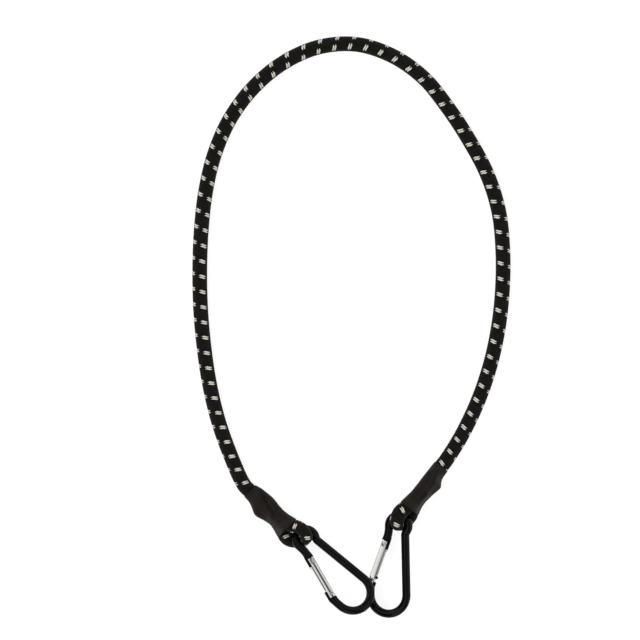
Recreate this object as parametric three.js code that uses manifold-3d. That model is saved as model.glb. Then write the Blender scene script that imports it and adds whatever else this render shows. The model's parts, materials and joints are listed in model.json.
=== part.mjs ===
// A bungee cord: a stretch cord with a snap carabiner held in an eye at each end.
//
// The cord is a rubber core in a braided sheath. At each end it passes through the small end of a
// carabiner and folds back on itself. A crimp ring clamps the fold, and a heat-shrink sleeve covers it.
// Each carabiner is a bent rod with a sprung gate: the gate turns on a rivet through a flat tongue at one
// end of the rod, and a pin across its far end closes into the notch of the latch nose at the other.
//
// Units are millimetres, with +Z up. The part lies on the surface z = 0. The origin lies on that surface,
// in the middle of the two hook ends.

import * as THREE from 'three';
import { mergeVertices } from 'three/addons/utils/BufferGeometryUtils.js';
import Module from 'manifold-3d';

const wasm = await Module();
wasm.setup();

// Clearances shared by all pieces
const pieceGap = 0.3;
const surfaceGap = 0.3;
const cutOverrun = 2;

// The stretch cord
const cordDiameter = 10;
const sheathWall = 1;
const eyeSheathWall = 0.8;
const restingFlatShare = 0.1;
const cordSteps = 36;
const cordSides = 12;
const coreSides = 8;

// The cord's route on the surface, from the left sleeve to the right one
const cordRoute = [
  [-63.6, 32.2], [-68.2, 36.9], [-76.4, 54.6], [-85.4, 79.6], [-91.4, 104.8], [-95.2, 130.4],
  [-97.4, 156.1], [-97.9, 181.9], [-96.9, 207.8], [-94.0, 233.4], [-88.0, 258.6], [-77.6, 282.2],
  [-62.2, 302.9], [-42.4, 319.4], [-18.9, 330.0], [6.7, 332.0], [31.2, 324.2], [52.2, 309.3],
  [68.5, 289.2], [82.6, 267.6], [94.6, 244.8], [102.3, 220.1], [105.0, 194.5], [104.8, 168.6],
  [102.1, 142.9], [96.7, 117.7], [88.4, 93.2], [77.3, 69.9], [66.9, 53.3], [63.2, 48.6],
];

// The folded end of the cord, as shares of the cord's own radius
const sleevedStrandShare = 0.76;
const crimpedStrandShare = 0.6;
const eyeStrandShare = 0.86;
const turnStrandShare = 0.68;
const eyeWideningShare = 1.16;
const strandGap = 1;
const strandClearance = 0.5;
const eyeSides = 8;
const eyeStepsBetween = 2;
const wrapEndDegrees = 112;
const wrapStepDegrees = [-90, -60, -30, 0, 30, 60, 90];
const strandRampShares = [0, 0.08, 0.16, 0.24];
const strandNeckShare = 0.52;
const strandFlareShare = 0.91;

// The heat-shrink sleeve and the crimp ring inside it
const sleeveLength = 34;
const sleeveWall = 0.7;
const sleeveSides = 16;
const bulgeStartShare = 0.32;
const tailEndShare = 0.36;
const rampRoom = 0.6;
const bulgeEndShare = 0.44;
const waistShare = 0.71;
const rampShares = [0, 0.04, 0.08, 0.12, 0.16, 0.2, 0.24, 0.28];
const neckShares = [0.5, 0.55];
const flareShares = [0.88, 0.94];
const slopeStepShare = 0.04;
const mouthSpread = 5.7;
const mouthFlare = 0.3;
const crimpLength = 6;
const crimpWall = 0.7;
const crimpMargin = 0.7;

// The carabiner's bent rod
const rodDiameter = 5.6;
const rodSides = 12;
const eyeArcStops = 14;
const neckStops = 5;
const basketArcStops = 13;
const endRunSteps = 4;
const eyeClearance = 0.65;
const spineOffset = 4.4;
const basketRadius = 12.6;
const basketReach = 46.4;
const neckRadius = 3.4;
const legReach = 9;
const legFlare = 1.7;
const noseLength = 7.5;
const noseInset = 0.6;

// The gate, its rivet, its latch pin and its spring
const gateDiameter = 6.2;
const gateSides = 16;
const gateHeel = 2.7;
const gateOpenDegrees = 25;
const tongueThickness = 1.8;
const tongueReach = 3;
const shoulderGap = 0.9;
const latchGap = 0.5;
const latchTongueLength = 6;
const latchPinInset = 3.2;
const notchClearance = 0.4;
const rivetDiameter = 1.8;
const rivetHeadDiameter = 3.2;
const rivetHeadHeight = 0.45;
const rivetSeatDepth = 0.35;
const latchPinDiameter = 1.8;
const latchPinRecess = 0.3;
const boreDiameter = 3.6;
const boreEndWall = 1.8;
const plungerLength = 4;
const plungerStemLength = 4;
const springWire = 0.5;
const springPitch = 1.29;
const springStepsPerTurn = 8;
const springWireSides = 5;
const roundSides = 12;

// How each hook end lies: degrees are seen from above, and lengths run along or across its sleeve
const hooks = [
  {
    side: 'left',
    startPoint: cordRoute[0],
    sleeveHeading: -45,
    bulgeLean: 28,
    waistLean: 66,
    mouthLean: 76,
    bulgeShift: -0.8,
    upperSide: 1,
    mainStrandBelow: true,
    mouthShift: 0.8,
    eyeReach: 13.9,
    eyeShift: 3.8,
    carabinerTurn: 5.6,
    carabinerRoll: -18,
    restsOnOther: true,
  },
  {
    side: 'right',
    startPoint: cordRoute[cordRoute.length - 1],
    sleeveHeading: -128.1,
    bulgeLean: 54,
    waistLean: 75,
    mouthLean: 78,
    bulgeShift: 0.8,
    upperSide: -1,
    mainStrandBelow: false,
    mouthShift: 0.4,
    eyeReach: 13.4,
    eyeShift: 1.9,
    carabinerTurn: 39.3,
    carabinerRoll: 18,
    restsOnOther: false,
  },
];

// Sizes that follow from those above
const cordRadius = cordDiameter / 2;
const restingFlatDepth = cordDiameter * restingFlatShare;
const cordHeight = cordRadius - restingFlatDepth;
const coreRadius = cordRadius - sheathWall - pieceGap;
const rodRadius = rodDiameter / 2;
const gateRadius = gateDiameter / 2;
const eyeStrandRadius = cordRadius * eyeStrandShare;
const turnStrandRadius = cordRadius * turnStrandShare;
const eyeBarRadius = rodRadius + turnStrandRadius + eyeClearance;
const plainCover = strandClearance + sleeveWall;
const crimpCover = strandClearance + crimpWall + pieceGap + sleeveWall;
const waistHalfShare = (crimpLength / 2 + crimpMargin) / sleeveLength;

// The carabiner's own frame: its eye is centred on the origin, +X runs along the straight spine towards
// the wide basket, the spine lies on +Y and the gate on -Y.
const basketCentre = new THREE.Vector2(basketReach, spineOffset - basketRadius);
const gateSideReach = basketRadius - basketCentre.y;
const hingeShoulder = new THREE.Vector2(legReach, -eyeBarRadius - legFlare);
const latchShoulder = new THREE.Vector2(basketReach - noseLength, noseInset - gateSideReach);
const gateLine = latchShoulder.clone().sub(hingeShoulder);
const gateDirection = gateLine.clone().normalize();
const gateAngle = Math.atan2(gateLine.y, gateLine.x);
const hingeShoulderReach = gateHeel + shoulderGap;
const rivetPoint = hingeShoulder.clone().addScaledVector(gateDirection, hingeShoulderReach);
const latchShoulderReach = gateLine.length() - hingeShoulderReach;
const slotThickness = tongueThickness + 2 * pieceGap;
const openAngle = THREE.MathUtils.degToRad(gateOpenDegrees);

// The tongue's corner swings past the plunger as the gate opens, so the slot is cut that much deeper.
const hingeSlotReach = Math.hypot(tongueReach, rodRadius) + pieceGap;
const plungerNoseReach = tongueReach + pieceGap;
const plungerRadius = boreDiameter / 2 - pieceGap;
const springRadius = plungerRadius - springWire / 2;
const plungerStemRadius = springRadius - springWire / 2 - pieceGap;
const springStart = plungerNoseReach + plungerLength + pieceGap + springWire / 2;
const latchSlotStart = latchShoulderReach - latchTongueLength - pieceGap - notchClearance;
const boreEnd = latchSlotStart - boreEndWall;
const springEnd = boreEnd - pieceGap - springWire / 2;

const materials = {
  sheath: { color: 0x17161a, roughness: 0.85, metalness: 0 },
  core: { color: 0xb9a883, roughness: 0.8, metalness: 0 },
  sleeve: { color: 0x2b2724, roughness: 0.55, metalness: 0 },
  crimp: { color: 0x9a9a98, roughness: 0.45, metalness: 1 },
  rod: { color: 0x101012, roughness: 0.25, metalness: 0.4 },
  gate: { color: 0xd8d8d6, roughness: 0.2, metalness: 1 },
  steel: { color: 0xb4b4b2, roughness: 0.3, metalness: 1 },
};

/** A named mesh in one of the part's materials. */
function piece(name, geometry, material) {
  const mesh = new THREE.Mesh(geometry, new THREE.MeshStandardMaterial(materials[material]));
  mesh.name = name;
  return mesh;
}

/** Six times the volume inside a list of triangles, negative where they face inwards. */
function signedVolume(triangles) {
  return triangles.reduce((sum, [a, b, c]) => sum + a.dot(b.clone().cross(c)), 0);
}

/** A geometry from triangles of points, turned so that its faces point out. */
function geometryFromTriangles(triangles) {
  const turned = signedVolume(triangles) < 0;
  const positions = [];
  for (const [a, b, c] of triangles) {
    const corners = turned ? [a, c, b] : [a, b, c];
    corners.forEach((corner) => positions.push(corner.x, corner.y, corner.z));
  }
  const geometry = new THREE.BufferGeometry();
  geometry.setAttribute('position', new THREE.Float32BufferAttribute(positions, 3));
  geometry.computeVertexNormals();
  return geometry;
}

/** The triangles between two rings of points. */
function band(first, second) {
  return first.flatMap((point, index) => {
    const next = (index + 1) % first.length;
    return [
      [point, first[next], second[next]],
      [point, second[next], second[index]],
    ];
  });
}

/** The middle of a ring of points. */
function ringCentre(ring) {
  return ring.reduce((sum, point) => sum.add(point), new THREE.Vector3()).divideScalar(ring.length);
}

/** A closed body over a row of rings. With inner rings it is a tube, open at both ends. */
function loft(outerRings, innerRings = null) {
  const triangles = [];
  const last = outerRings.length - 1;
  for (let index = 0; index < last; index += 1) {
    triangles.push(...band(outerRings[index], outerRings[index + 1]));
    if (innerRings) {
      triangles.push(...band(innerRings[index + 1], innerRings[index]));
    }
  }
  if (innerRings) {
    triangles.push(...band(innerRings[0], outerRings[0]), ...band(outerRings[last], innerRings[last]));
    return geometryFromTriangles(triangles);
  }
  for (const [ring, reversed] of [[outerRings[0], true], [outerRings[last], false]]) {
    const centre = ringCentre(ring);
    ring.forEach((point, index) => {
      const next = ring[(index + 1) % ring.length];
      triangles.push(reversed ? [centre, next, point] : [centre, point, next]);
    });
  }
  return geometryFromTriangles(triangles);
}

/** The direction of a path at one of its points, halfway between the runs that meet there. */
function directionAt(points, index) {
  const runs = [index - 1, index].filter((run) => run >= 0 && run < points.length - 1);
  const directions = runs.map((run) => points[run + 1].clone().sub(points[run]).normalize());
  return directions.reduce((sum, direction) => sum.add(direction), new THREE.Vector3()).normalize();
}

/** Rings of points round a path, square to it, carried along it without twist. */
function ringsAlong(points, heights, sides, widths = heights, startForward = null) {
  let across = new THREE.Vector3(0, 0, 1);
  return points.map((point, index) => {
    const given = index === 0 ? startForward : null;
    const forward = given ?? directionAt(points, index);
    across = across.clone().addScaledVector(forward, -forward.dot(across)).normalize();
    const aside = forward.clone().cross(across);
    return Array.from({ length: sides }, (_, side) => {
      const angle = (2 * Math.PI * side) / sides;
      return point.clone()
        .addScaledVector(across, heights[index] * Math.cos(angle))
        .addScaledVector(aside, widths[index] * Math.sin(angle));
    });
  });
}

/** A solid of the manifold library from a geometry, in its own frame. */
function solid(geometry) {
  const bare = geometry.clone();
  bare.deleteAttribute('normal');
  bare.deleteAttribute('uv');
  const merged = mergeVertices(bare);
  const mesh = new wasm.Mesh({
    numProp: 3,
    vertProperties: new Float32Array(merged.attributes.position.array),
    triVerts: new Uint32Array(merged.index.array),
  });
  return new wasm.Manifold(mesh);
}

/** A geometry from a solid of the manifold library. */
function geometryFromSolid(body) {
  const mesh = body.getMesh();
  const geometry = new THREE.BufferGeometry();
  geometry.setAttribute('position', new THREE.Float32BufferAttribute(mesh.vertProperties, 3));
  geometry.setIndex(new THREE.Uint32BufferAttribute(mesh.triVerts, 1));
  const facets = geometry.toNonIndexed();
  facets.computeVertexNormals();
  return facets;
}

/** A box geometry between two corners. */
function boxBetween(low, high) {
  const size = high.clone().sub(low);
  const middle = low.clone().add(high).divideScalar(2);
  return new THREE.BoxGeometry(size.x, size.y, size.z).translate(middle.x, middle.y, middle.z);
}

/** A cylinder geometry along Z, from one height to another. */
function cylinderUp(radius, bottom, top, sides = roundSides) {
  const height = top - bottom;
  return new THREE.CylinderGeometry(radius, radius, height, sides)
    .rotateX(Math.PI / 2)
    .translate(0, 0, bottom + height / 2);
}

/** A cylinder geometry along X, from one reach to another. */
function cylinderAlong(radius, start, end, sides = roundSides) {
  return cylinderUp(radius, start, end, sides).rotateY(Math.PI / 2);
}

/** A round section with a flat on the side that the cord rests on. */
function restingSection(radius, flatDistance, sides, ShapeClass = THREE.Shape) {
  const flatAngle = Math.acos(flatDistance / radius);
  const sweep = 2 * (Math.PI - flatAngle);
  const points = Array.from({ length: sides }, (_, index) => {
    const angle = flatAngle + (sweep * index) / (sides - 1);
    return new THREE.Vector2(radius * Math.cos(angle), radius * Math.sin(angle));
  });
  return new ShapeClass(points);
}

/** The free cord: a braided sheath with a rubber core in its bore, both pressed flat where they rest. */
function freeCord() {
  const points = cordRoute.map(([x, y]) => new THREE.Vector3(x, y, cordHeight));
  const route = new THREE.CatmullRomCurve3(points, false, 'centripetal');
  const options = { steps: cordSteps, extrudePath: route };
  const boreRadius = cordRadius - sheathWall;
  const sheath = restingSection(cordRadius, cordHeight, cordSides);
  sheath.holes.push(restingSection(boreRadius, cordHeight - sheathWall, coreSides, THREE.Path));
  const core = restingSection(coreRadius, cordHeight - sheathWall - pieceGap, coreSides);
  console.log(`Free cord length: ${route.getLength().toFixed(1)} mm`);
  return [
    piece('main_sheath', new THREE.ExtrudeGeometry(sheath, options), 'sheath'),
    piece('main_core', new THREE.ExtrudeGeometry(core, options), 'core'),
  ];
}

/** The named places along a sleeve, from the cord to the mouth, with the strands' sizes at each. */
function sleeveStations(hook) {
  const sleeved = cordRadius * sleevedStrandShare;
  const crimped = cordRadius * crimpedStrandShare;
  const bulge = {
    strand: sleeved, width: sleeved, spread: sleeved + strandGap / 2, lean: hook.bulgeLean,
    shift: hook.bulgeShift, cover: plainCover,
  };
  const waist = {
    strand: crimped, width: crimped, spread: crimped + strandGap / 2, lean: hook.waistLean,
    shift: 0, cover: crimpCover,
  };
  return [
    { ...bulge, share: 0, spread: 0, shift: 0 },
    { ...bulge, share: bulgeStartShare },
    { ...bulge, share: bulgeEndShare },
    { ...waist, share: waistShare - waistHalfShare },
    { ...waist, share: waistShare + waistHalfShare },
    {
      share: 1, strand: eyeStrandRadius, width: eyeStrandRadius * eyeWideningShare,
      spread: mouthSpread, lean: hook.mouthLean, shift: hook.mouthShift, cover: plainCover + mouthFlare,
    },
  ];
}

/** The height of two strands' middle above the surface, where their cover rests on it. */
function restingHeight({ strand, spread, lean, cover }) {
  return surfaceGap + spread * Math.sin(THREE.MathUtils.degToRad(lean)) + strand + cover;
}

/** The strands' sizes and places at one share of the sleeve's length, eased between its stations. */
function sleeveAt(hook, share) {
  const stations = sleeveStations(hook);
  const index = Math.max(stations.findIndex((station) => station.share >= share), 1);
  const [from, to] = [stations[index - 1], stations[index]];
  const ease = index < stations.length - 1
    ? THREE.MathUtils.smoothstep(share, from.share, to.share)
    : THREE.MathUtils.inverseLerp(from.share, to.share, share);
  const mixed = Object.fromEntries(Object.keys(from).map((key) => {
    return [key, THREE.MathUtils.lerp(from[key], to[key], ease)];
  }));
  const rise = THREE.MathUtils.inverseLerp(bulgeEndShare, 1, share);
  const bulgeEnd = stations.find((station) => station.share === bulgeEndShare);
  const height = rise > 0
    ? THREE.MathUtils.lerp(restingHeight(bulgeEnd), barHeight(hook), rise)
    : restingHeight(mixed);
  const lean = THREE.MathUtils.degToRad(mixed.lean);
  const apart = new THREE.Vector3(0, hook.upperSide * Math.cos(lean), Math.sin(lean));
  const middle = new THREE.Vector3(share * sleeveLength, mixed.shift, height);
  return {
    ...mixed,
    apart,
    middle,
    upper: middle.clone().addScaledVector(apart, mixed.spread),
    lower: middle.clone().addScaledVector(apart, -mixed.spread),
  };
}

/** How much wider the steeper strand is in a cut across the sleeve than square to the strand itself. */
function slopeStretch(hook, share) {
  const before = sleeveAt(hook, Math.max(share - slopeStepShare, 0));
  const after = sleeveAt(hook, Math.min(share + slopeStepShare, 1));
  const runs = ['upper', 'lower'].map((key) => after[key].clone().sub(before[key]));
  return Math.max(...runs.map((run) => run.length() / run.x));
}

/** One ring of the long round that encloses both strands, pressed flat where it meets the floor. */
function strandHullRing(hook, share, floor, offset) {
  const place = sleeveAt(hook, share);
  const room = rampRoom * Math.sin(Math.PI * Math.min(share / bulgeStartShare, 1));
  const radius = place.strand * slopeStretch(hook, share) + offset(place) + room;
  const width = place.width + offset(place) + room / 2;
  const aside = new THREE.Vector3(1, 0, 0).cross(place.apart);
  return Array.from({ length: sleeveSides }, (_, index) => {
    const angle = (2 * Math.PI * (index + 0.5)) / sleeveSides;
    const towards = radius * Math.cos(angle) + Math.sign(Math.cos(angle)) * place.spread;
    const point = place.middle.clone()
      .addScaledVector(place.apart, towards)
      .addScaledVector(aside, width * Math.sin(angle));
    point.z = Math.max(point.z, floor);
    return point;
  });
}

/** The heat-shrink sleeve over the folded cord. */
function heatShrinkSleeve(hook) {
  const waist = [waistShare - waistHalfShare, waistShare + waistHalfShare];
  const shares = [
    ...rampShares, bulgeStartShare, bulgeEndShare, ...neckShares, ...waist, ...flareShares, 1,
  ];
  const rings = (inset) => shares.map((share) => {
    return strandHullRing(hook, share, surfaceGap + inset, (place) => place.cover - inset);
  });
  return loft(rings(0), rings(sleeveWall));
}

/** The crimp ring that clamps the two strands at the sleeve's waist. */
function crimpRing(hook) {
  const halfShare = crimpLength / 2 / sleeveLength;
  const shares = [waistShare - halfShare, waistShare + halfShare];
  const rings = (offset) => shares.map((share) => strandHullRing(hook, share, surfaceGap, () => offset));
  return loft(rings(strandClearance + crimpWall), rings(strandClearance));
}

/** The middle of the carabiner's eye, seen from above, in the sleeve's frame. */
function eyeMiddle(hook) {
  return new THREE.Vector2(sleeveLength + hook.eyeReach, hook.eyeShift);
}

/** The direction, in the carabiner's frame, in which a strand leaves the eye for the sleeve's mouth. */
function strandAzimuth(hook, upper) {
  const lean = THREE.MathUtils.degToRad(hook.mouthLean);
  const aside = hook.mouthShift + (upper ? 1 : -1) * hook.upperSide * Math.cos(lean) * mouthSpread;
  const middle = eyeMiddle(hook);
  const turn = THREE.MathUtils.degToRad(hook.carabinerTurn);
  return Math.atan2(aside - middle.y, sleeveLength - middle.x) - turn;
}

/** The strand's turn round the eye's bar at an angle: -90 degrees is under the bar and 90 over it. */
function wrapStop(hook, degrees) {
  const angle = THREE.MathUtils.degToRad(degrees);
  const azimuth = strandAzimuth(hook, degrees > 0);
  const overBar = THREE.MathUtils.smoothstep(Math.abs(Math.sin(angle)), 0, 1);
  const radius = THREE.MathUtils.lerp(turnStrandRadius, eyeStrandRadius, overBar);
  const distance = rodRadius + radius + eyeClearance;
  const reach = eyeBarRadius - distance * Math.cos(angle);
  return {
    point: new THREE.Vector3(
      reach * Math.cos(azimuth),
      reach * Math.sin(azimuth),
      distance * Math.sin(angle),
    ),
    radius,
    width: radius * THREE.MathUtils.lerp(1, eyeWideningShare, overBar),
  };
}

/** The height of the eye's middle, which the strand that passes under the bar holds up. */
function eyeHeight(hook) {
  const roll = THREE.MathUtils.degToRad(hook.carabinerRoll);
  const under = wrapStop(hook, -90).point.applyAxisAngle(new THREE.Vector3(1, 0, 0), roll);
  return surfaceGap + eyeStrandRadius - under.z;
}

/** The upward tilt, in radians, that rests the basket on the surface or on the other carabiner. */
function carabinerTilt(hook) {
  const roll = THREE.MathUtils.degToRad(hook.carabinerRoll);
  const lowSide = hook.restsOnOther ? spineOffset : -gateSideReach;
  const support = hook.restsOnOther ? rodDiameter + 2 * pieceGap : surfaceGap;
  const rise = support + gateRadius - eyeHeight(hook) - lowSide * Math.sin(roll);
  return Math.asin(rise / basketReach);
}

/** The group that carries the carabiner, placed in the sleeve's frame. */
function carabinerFrame(hook) {
  const frame = new THREE.Group();
  const middle = eyeMiddle(hook);
  frame.position.set(middle.x, middle.y, eyeHeight(hook));
  frame.rotation.set(
    THREE.MathUtils.degToRad(hook.carabinerRoll),
    -carabinerTilt(hook),
    THREE.MathUtils.degToRad(hook.carabinerTurn),
    'ZYX',
  );
  frame.updateMatrix();
  return frame;
}

/** The height halfway between the two strands where they leave the eye's bar for the sleeve. */
function barHeight(hook) {
  const matrix = carabinerFrame(hook).matrix;
  const ends = [-wrapEndDegrees, wrapEndDegrees].map((end) => {
    return wrapStop(hook, end).point.applyMatrix4(matrix);
  });
  return (ends[0].z + ends[1].z) / 2;
}

/** The folded strand: from the free cord through the sleeve, round the eye's bar and back. */
function foldedStrand(hook) {
  const matrix = carabinerFrame(hook).matrix;
  const waist = [waistShare - waistHalfShare, waistShare, waistShare + waistHalfShare];
  const folded = [tailEndShare, bulgeEndShare, strandNeckShare, ...waist, strandFlareShare, 1];
  const outward = [...strandRampShares, ...folded];
  const homeward = folded.toReversed();
  const [out, home] = hook.mainStrandBelow ? ['lower', 'upper'] : ['upper', 'lower'];
  const angles = [-wrapEndDegrees, ...wrapStepDegrees, wrapEndDegrees];
  const strandStops = (shares, key) => shares.map((share) => {
    const place = sleeveAt(hook, share);
    return { point: place[key], radius: place.strand, width: place.width };
  });
  const wrapStops = (hook.mainStrandBelow ? angles : angles.toReversed()).map((angle) => {
    const stop = wrapStop(hook, angle);
    return { ...stop, point: stop.point.applyMatrix4(matrix) };
  });
  return [...strandStops(outward, out), ...wrapStops, ...strandStops(homeward, home)];
}

/** Points and sizes between a row of stops, so that a tube can be drawn along them. */
function smoothStops(stops, stepsBetween) {
  const curve = new THREE.CatmullRomCurve3(stops.map((stop) => stop.point), false, 'centripetal');
  const count = (stops.length - 1) * stepsBetween;
  return Array.from({ length: count + 1 }, (_, step) => {
    const along = (step / count) * (stops.length - 1);
    const index = Math.min(Math.floor(along), stops.length - 2);
    const mix = (key) => THREE.MathUtils.lerp(stops[index][key], stops[index + 1][key], along - index);
    return { point: curve.getPoint(step / count), radius: mix('radius'), width: mix('width') };
  });
}

/** The least air between parts of one tube that lie further apart along it than they are thick. */
function leastGapToItself(row) {
  const lengths = row.map(() => 0);
  row.slice(1).forEach((stop, index) => {
    lengths[index + 1] = lengths[index] + stop.point.distanceTo(row[index].point);
  });
  let least = Infinity;
  row.forEach((one, i) => row.slice(i + 1).forEach((other, j) => {
    const thickness = one.radius + other.radius;
    if (lengths[i + 1 + j] - lengths[i] > Math.PI * thickness) {
      least = Math.min(least, one.point.distanceTo(other.point) - thickness);
    }
  }));
  return least;
}

/** The sheath and the core of the strand that is folded round the carabiner's eye. */
function eyeStrand(hook) {
  const row = smoothStops(foldedStrand(hook), eyeStepsBetween);
  const points = row.map((stop) => stop.point);
  const alongSleeve = new THREE.Vector3(1, 0, 0);
  const rings = (inset) => ringsAlong(
    points,
    row.map((stop) => stop.radius - inset),
    eyeSides,
    row.map((stop) => stop.width - inset),
    alongSleeve,
  );
  console.log(`${hook.side} eye strand, least gap to itself: ${leastGapToItself(row).toFixed(2)} mm`);
  return [
    piece(`${hook.side}_eye_sheath`, loft(rings(0), rings(eyeSheathWall)), 'sheath'),
    piece(`${hook.side}_eye_core`, loft(rings(eyeSheathWall + pieceGap)), 'core'),
  ];
}

/** Points on an arc in the carabiner's plane, in degrees from +X. */
function arcPoints(centre, radius, startDegrees, endDegrees, count) {
  return Array.from({ length: count }, (_, index) => {
    const degrees = THREE.MathUtils.lerp(startDegrees, endDegrees, index / (count - 1));
    const angle = THREE.MathUtils.degToRad(degrees);
    return new THREE.Vector2(centre.x + radius * Math.cos(angle), centre.y + radius * Math.sin(angle));
  });
}

/** The rod's end run: a curve that leaves a straight run along X and meets the gate's line. */
function endRun(start, shoulder) {
  const alongGate = (start.y - shoulder.y) / gateDirection.y;
  const corner = shoulder.clone().addScaledVector(gateDirection, alongGate);
  return new THREE.QuadraticBezierCurve(start, corner, shoulder).getPoints(endRunSteps);
}

/** The neck: the tight bend that leads from the eye's arc into the straight spine. */
function neckRun() {
  const turnCosine = (spineOffset + neckRadius) / (eyeBarRadius + neckRadius);
  const turn = Math.acos(turnCosine);
  const centre = new THREE.Vector2((eyeBarRadius + neckRadius) * Math.sin(turn), spineOffset + neckRadius);
  const turnDegrees = THREE.MathUtils.radToDeg(turn);
  return {
    arcEndDegrees: 90 - turnDegrees,
    points: arcPoints(centre, neckRadius, -90 - turnDegrees, -90, neckStops),
  };
}

/** The rod's centre line, from the end of the hinge tongue round to the end of the latch tongue. */
function rodCentreLine() {
  const onGateLine = (reach) => rivetPoint.clone().addScaledVector(gateDirection, reach);
  const neck = neckRun();
  const hingeRun = endRun(new THREE.Vector2(0, -eyeBarRadius), hingeShoulder).reverse();
  const eyeArc = arcPoints(new THREE.Vector2(), eyeBarRadius, 270, neck.arcEndDegrees, eyeArcStops);
  const basketArc = arcPoints(basketCentre, basketRadius, 90, -90, basketArcStops);
  const latchRun = endRun(basketArc[basketArc.length - 1], latchShoulder);
  const flared = (run) => run.map((point) => ({ point, radius: gateRadius }));
  const plain = (run) => run.map((point) => ({ point, radius: rodRadius }));
  const stops = [
    ...flared([onGateLine(tongueReach), hingeRun[0]]),
    ...plain([...hingeRun.slice(1), ...eyeArc.slice(1), ...neck.points.slice(1), ...basketArc]),
    ...plain(latchRun.slice(1, -1)),
    ...flared([latchShoulder, onGateLine(latchShoulderReach - latchTongueLength)]),
  ];
  return stops.map(({ point, radius }) => ({ point: new THREE.Vector3(point.x, point.y, 0), radius }));
}

/** A cutter moved from the gate's frame, centred on the rivet, into the carabiner's frame. */
function fromGateFrame(geometry) {
  return solid(geometry.rotateZ(gateAngle).translate(rivetPoint.x, rivetPoint.y, 0));
}

/** The two blocks that are milled off a rod end to leave its flat tongue. */
function tongueCutters(start, end) {
  const reach = rodDiameter;
  return [1, -1].map((face) => {
    const heights = [face * tongueThickness / 2, face * reach].sort((a, b) => a - b);
    return fromGateFrame(boxBetween(
      new THREE.Vector3(start, -reach, heights[0]),
      new THREE.Vector3(end, reach, heights[1]),
    ));
  });
}

/** The carabiner's bent rod, with its hinge tongue and the notched tongue of its latch nose. */
function carabinerBody() {
  const line = rodCentreLine();
  const rings = ringsAlong(line.map((stop) => stop.point), line.map((stop) => stop.radius), rodSides);
  const rod = solid(loft(rings));
  const middle = latchShoulderReach / 2;
  const holeRadius = rivetDiameter / 2 + pieceGap;
  const pinReach = latchShoulderReach - latchPinInset;
  const notchHalf = latchPinDiameter / 2 + notchClearance;
  const notch = boxBetween(
    new THREE.Vector3(pinReach - notchHalf, -notchHalf, -rodDiameter),
    new THREE.Vector3(pinReach + notchHalf, rodDiameter, rodDiameter),
  );
  const cutters = [
    ...tongueCutters(-hingeShoulderReach, middle),
    ...tongueCutters(middle, latchShoulderReach),
    fromGateFrame(cylinderUp(holeRadius, -rodDiameter, rodDiameter)),
    fromGateFrame(notch),
  ];
  const body = cutters.reduce((result, cutter) => result.subtract(cutter), rod);
  return geometryFromSolid(body);
}

/** The gate: a rod with a fork at each end, a spring bore and a relieved heel, in its own frame. */
function gateBody() {
  const end = latchShoulderReach - latchGap;
  const pinReach = latchShoulderReach - latchPinInset;
  const side = gateDiameter;
  const slot = (start, finish) => boxBetween(
    new THREE.Vector3(start, -side, -slotThickness / 2),
    new THREE.Vector3(finish, side, slotThickness / 2),
  );
  const heelRelief = boxBetween(
    new THREE.Vector3(-hingeShoulderReach - side, -side, -side),
    new THREE.Vector3(-hingeShoulderReach + pieceGap, side, side),
  ).rotateZ(-openAngle);
  const seatHeight = gateRadius - rivetSeatDepth;
  const seatRadius = rivetHeadDiameter / 2 + pieceGap;
  const cutters = [
    slot(-gateHeel - cutOverrun, hingeSlotReach),
    slot(latchSlotStart, end + cutOverrun),
    heelRelief,
    cylinderAlong(boreDiameter / 2, tongueReach, boreEnd),
    cylinderUp(rivetDiameter / 2 + pieceGap, -side, side),
    cylinderUp(latchPinDiameter / 2 + pieceGap, -side, side).translate(pinReach, 0, 0),
    cylinderUp(seatRadius, seatHeight, side),
    cylinderUp(seatRadius, -side, -seatHeight),
  ];
  const bar = solid(cylinderAlong(gateRadius, -gateHeel, end, gateSides));
  return geometryFromSolid(cutters.reduce((body, cutter) => body.subtract(solid(cutter)), bar));
}

/** The hinge rivet, with a domed head on each cheek of the gate's fork. */
function hingeRivet() {
  const seat = gateRadius - rivetSeatDepth + pieceGap;
  const shank = rivetDiameter / 2;
  const head = rivetHeadDiameter / 2;
  const shoulder = (head + shank) / 2;
  const top = seat + rivetHeadHeight;
  const profile = [
    [0, -top], [shoulder, -top], [head, -seat - rivetHeadHeight / 3], [head, -seat], [shank, -seat],
    [shank, seat], [head, seat], [head, seat + rivetHeadHeight / 3], [shoulder, top], [0, top],
  ].map(([radius, height]) => new THREE.Vector2(radius, height));
  return new THREE.LatheGeometry(profile, roundSides).rotateX(Math.PI / 2);
}

/** The pin across the gate's latch end. */
function latchPin() {
  const half = gateRadius - latchPinRecess;
  const pinReach = latchShoulderReach - latchPinInset;
  return cylinderUp(latchPinDiameter / 2, -half, half).translate(pinReach, 0, 0);
}

/** The plunger: a head that bears on the hinge tongue, and a stem that guides the spring. */
function springPlunger() {
  const back = plungerNoseReach + plungerLength;
  const chamfer = plungerRadius / 4;
  const profile = [
    [0, plungerNoseReach], [plungerRadius - chamfer, plungerNoseReach],
    [plungerRadius, plungerNoseReach + chamfer], [plungerRadius, back], [plungerStemRadius, back],
    [plungerStemRadius, back + plungerStemLength], [0, back + plungerStemLength],
  ].map(([radius, reach]) => new THREE.Vector2(radius, reach));
  return new THREE.LatheGeometry(profile, roundSides).rotateZ(-Math.PI / 2);
}

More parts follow.
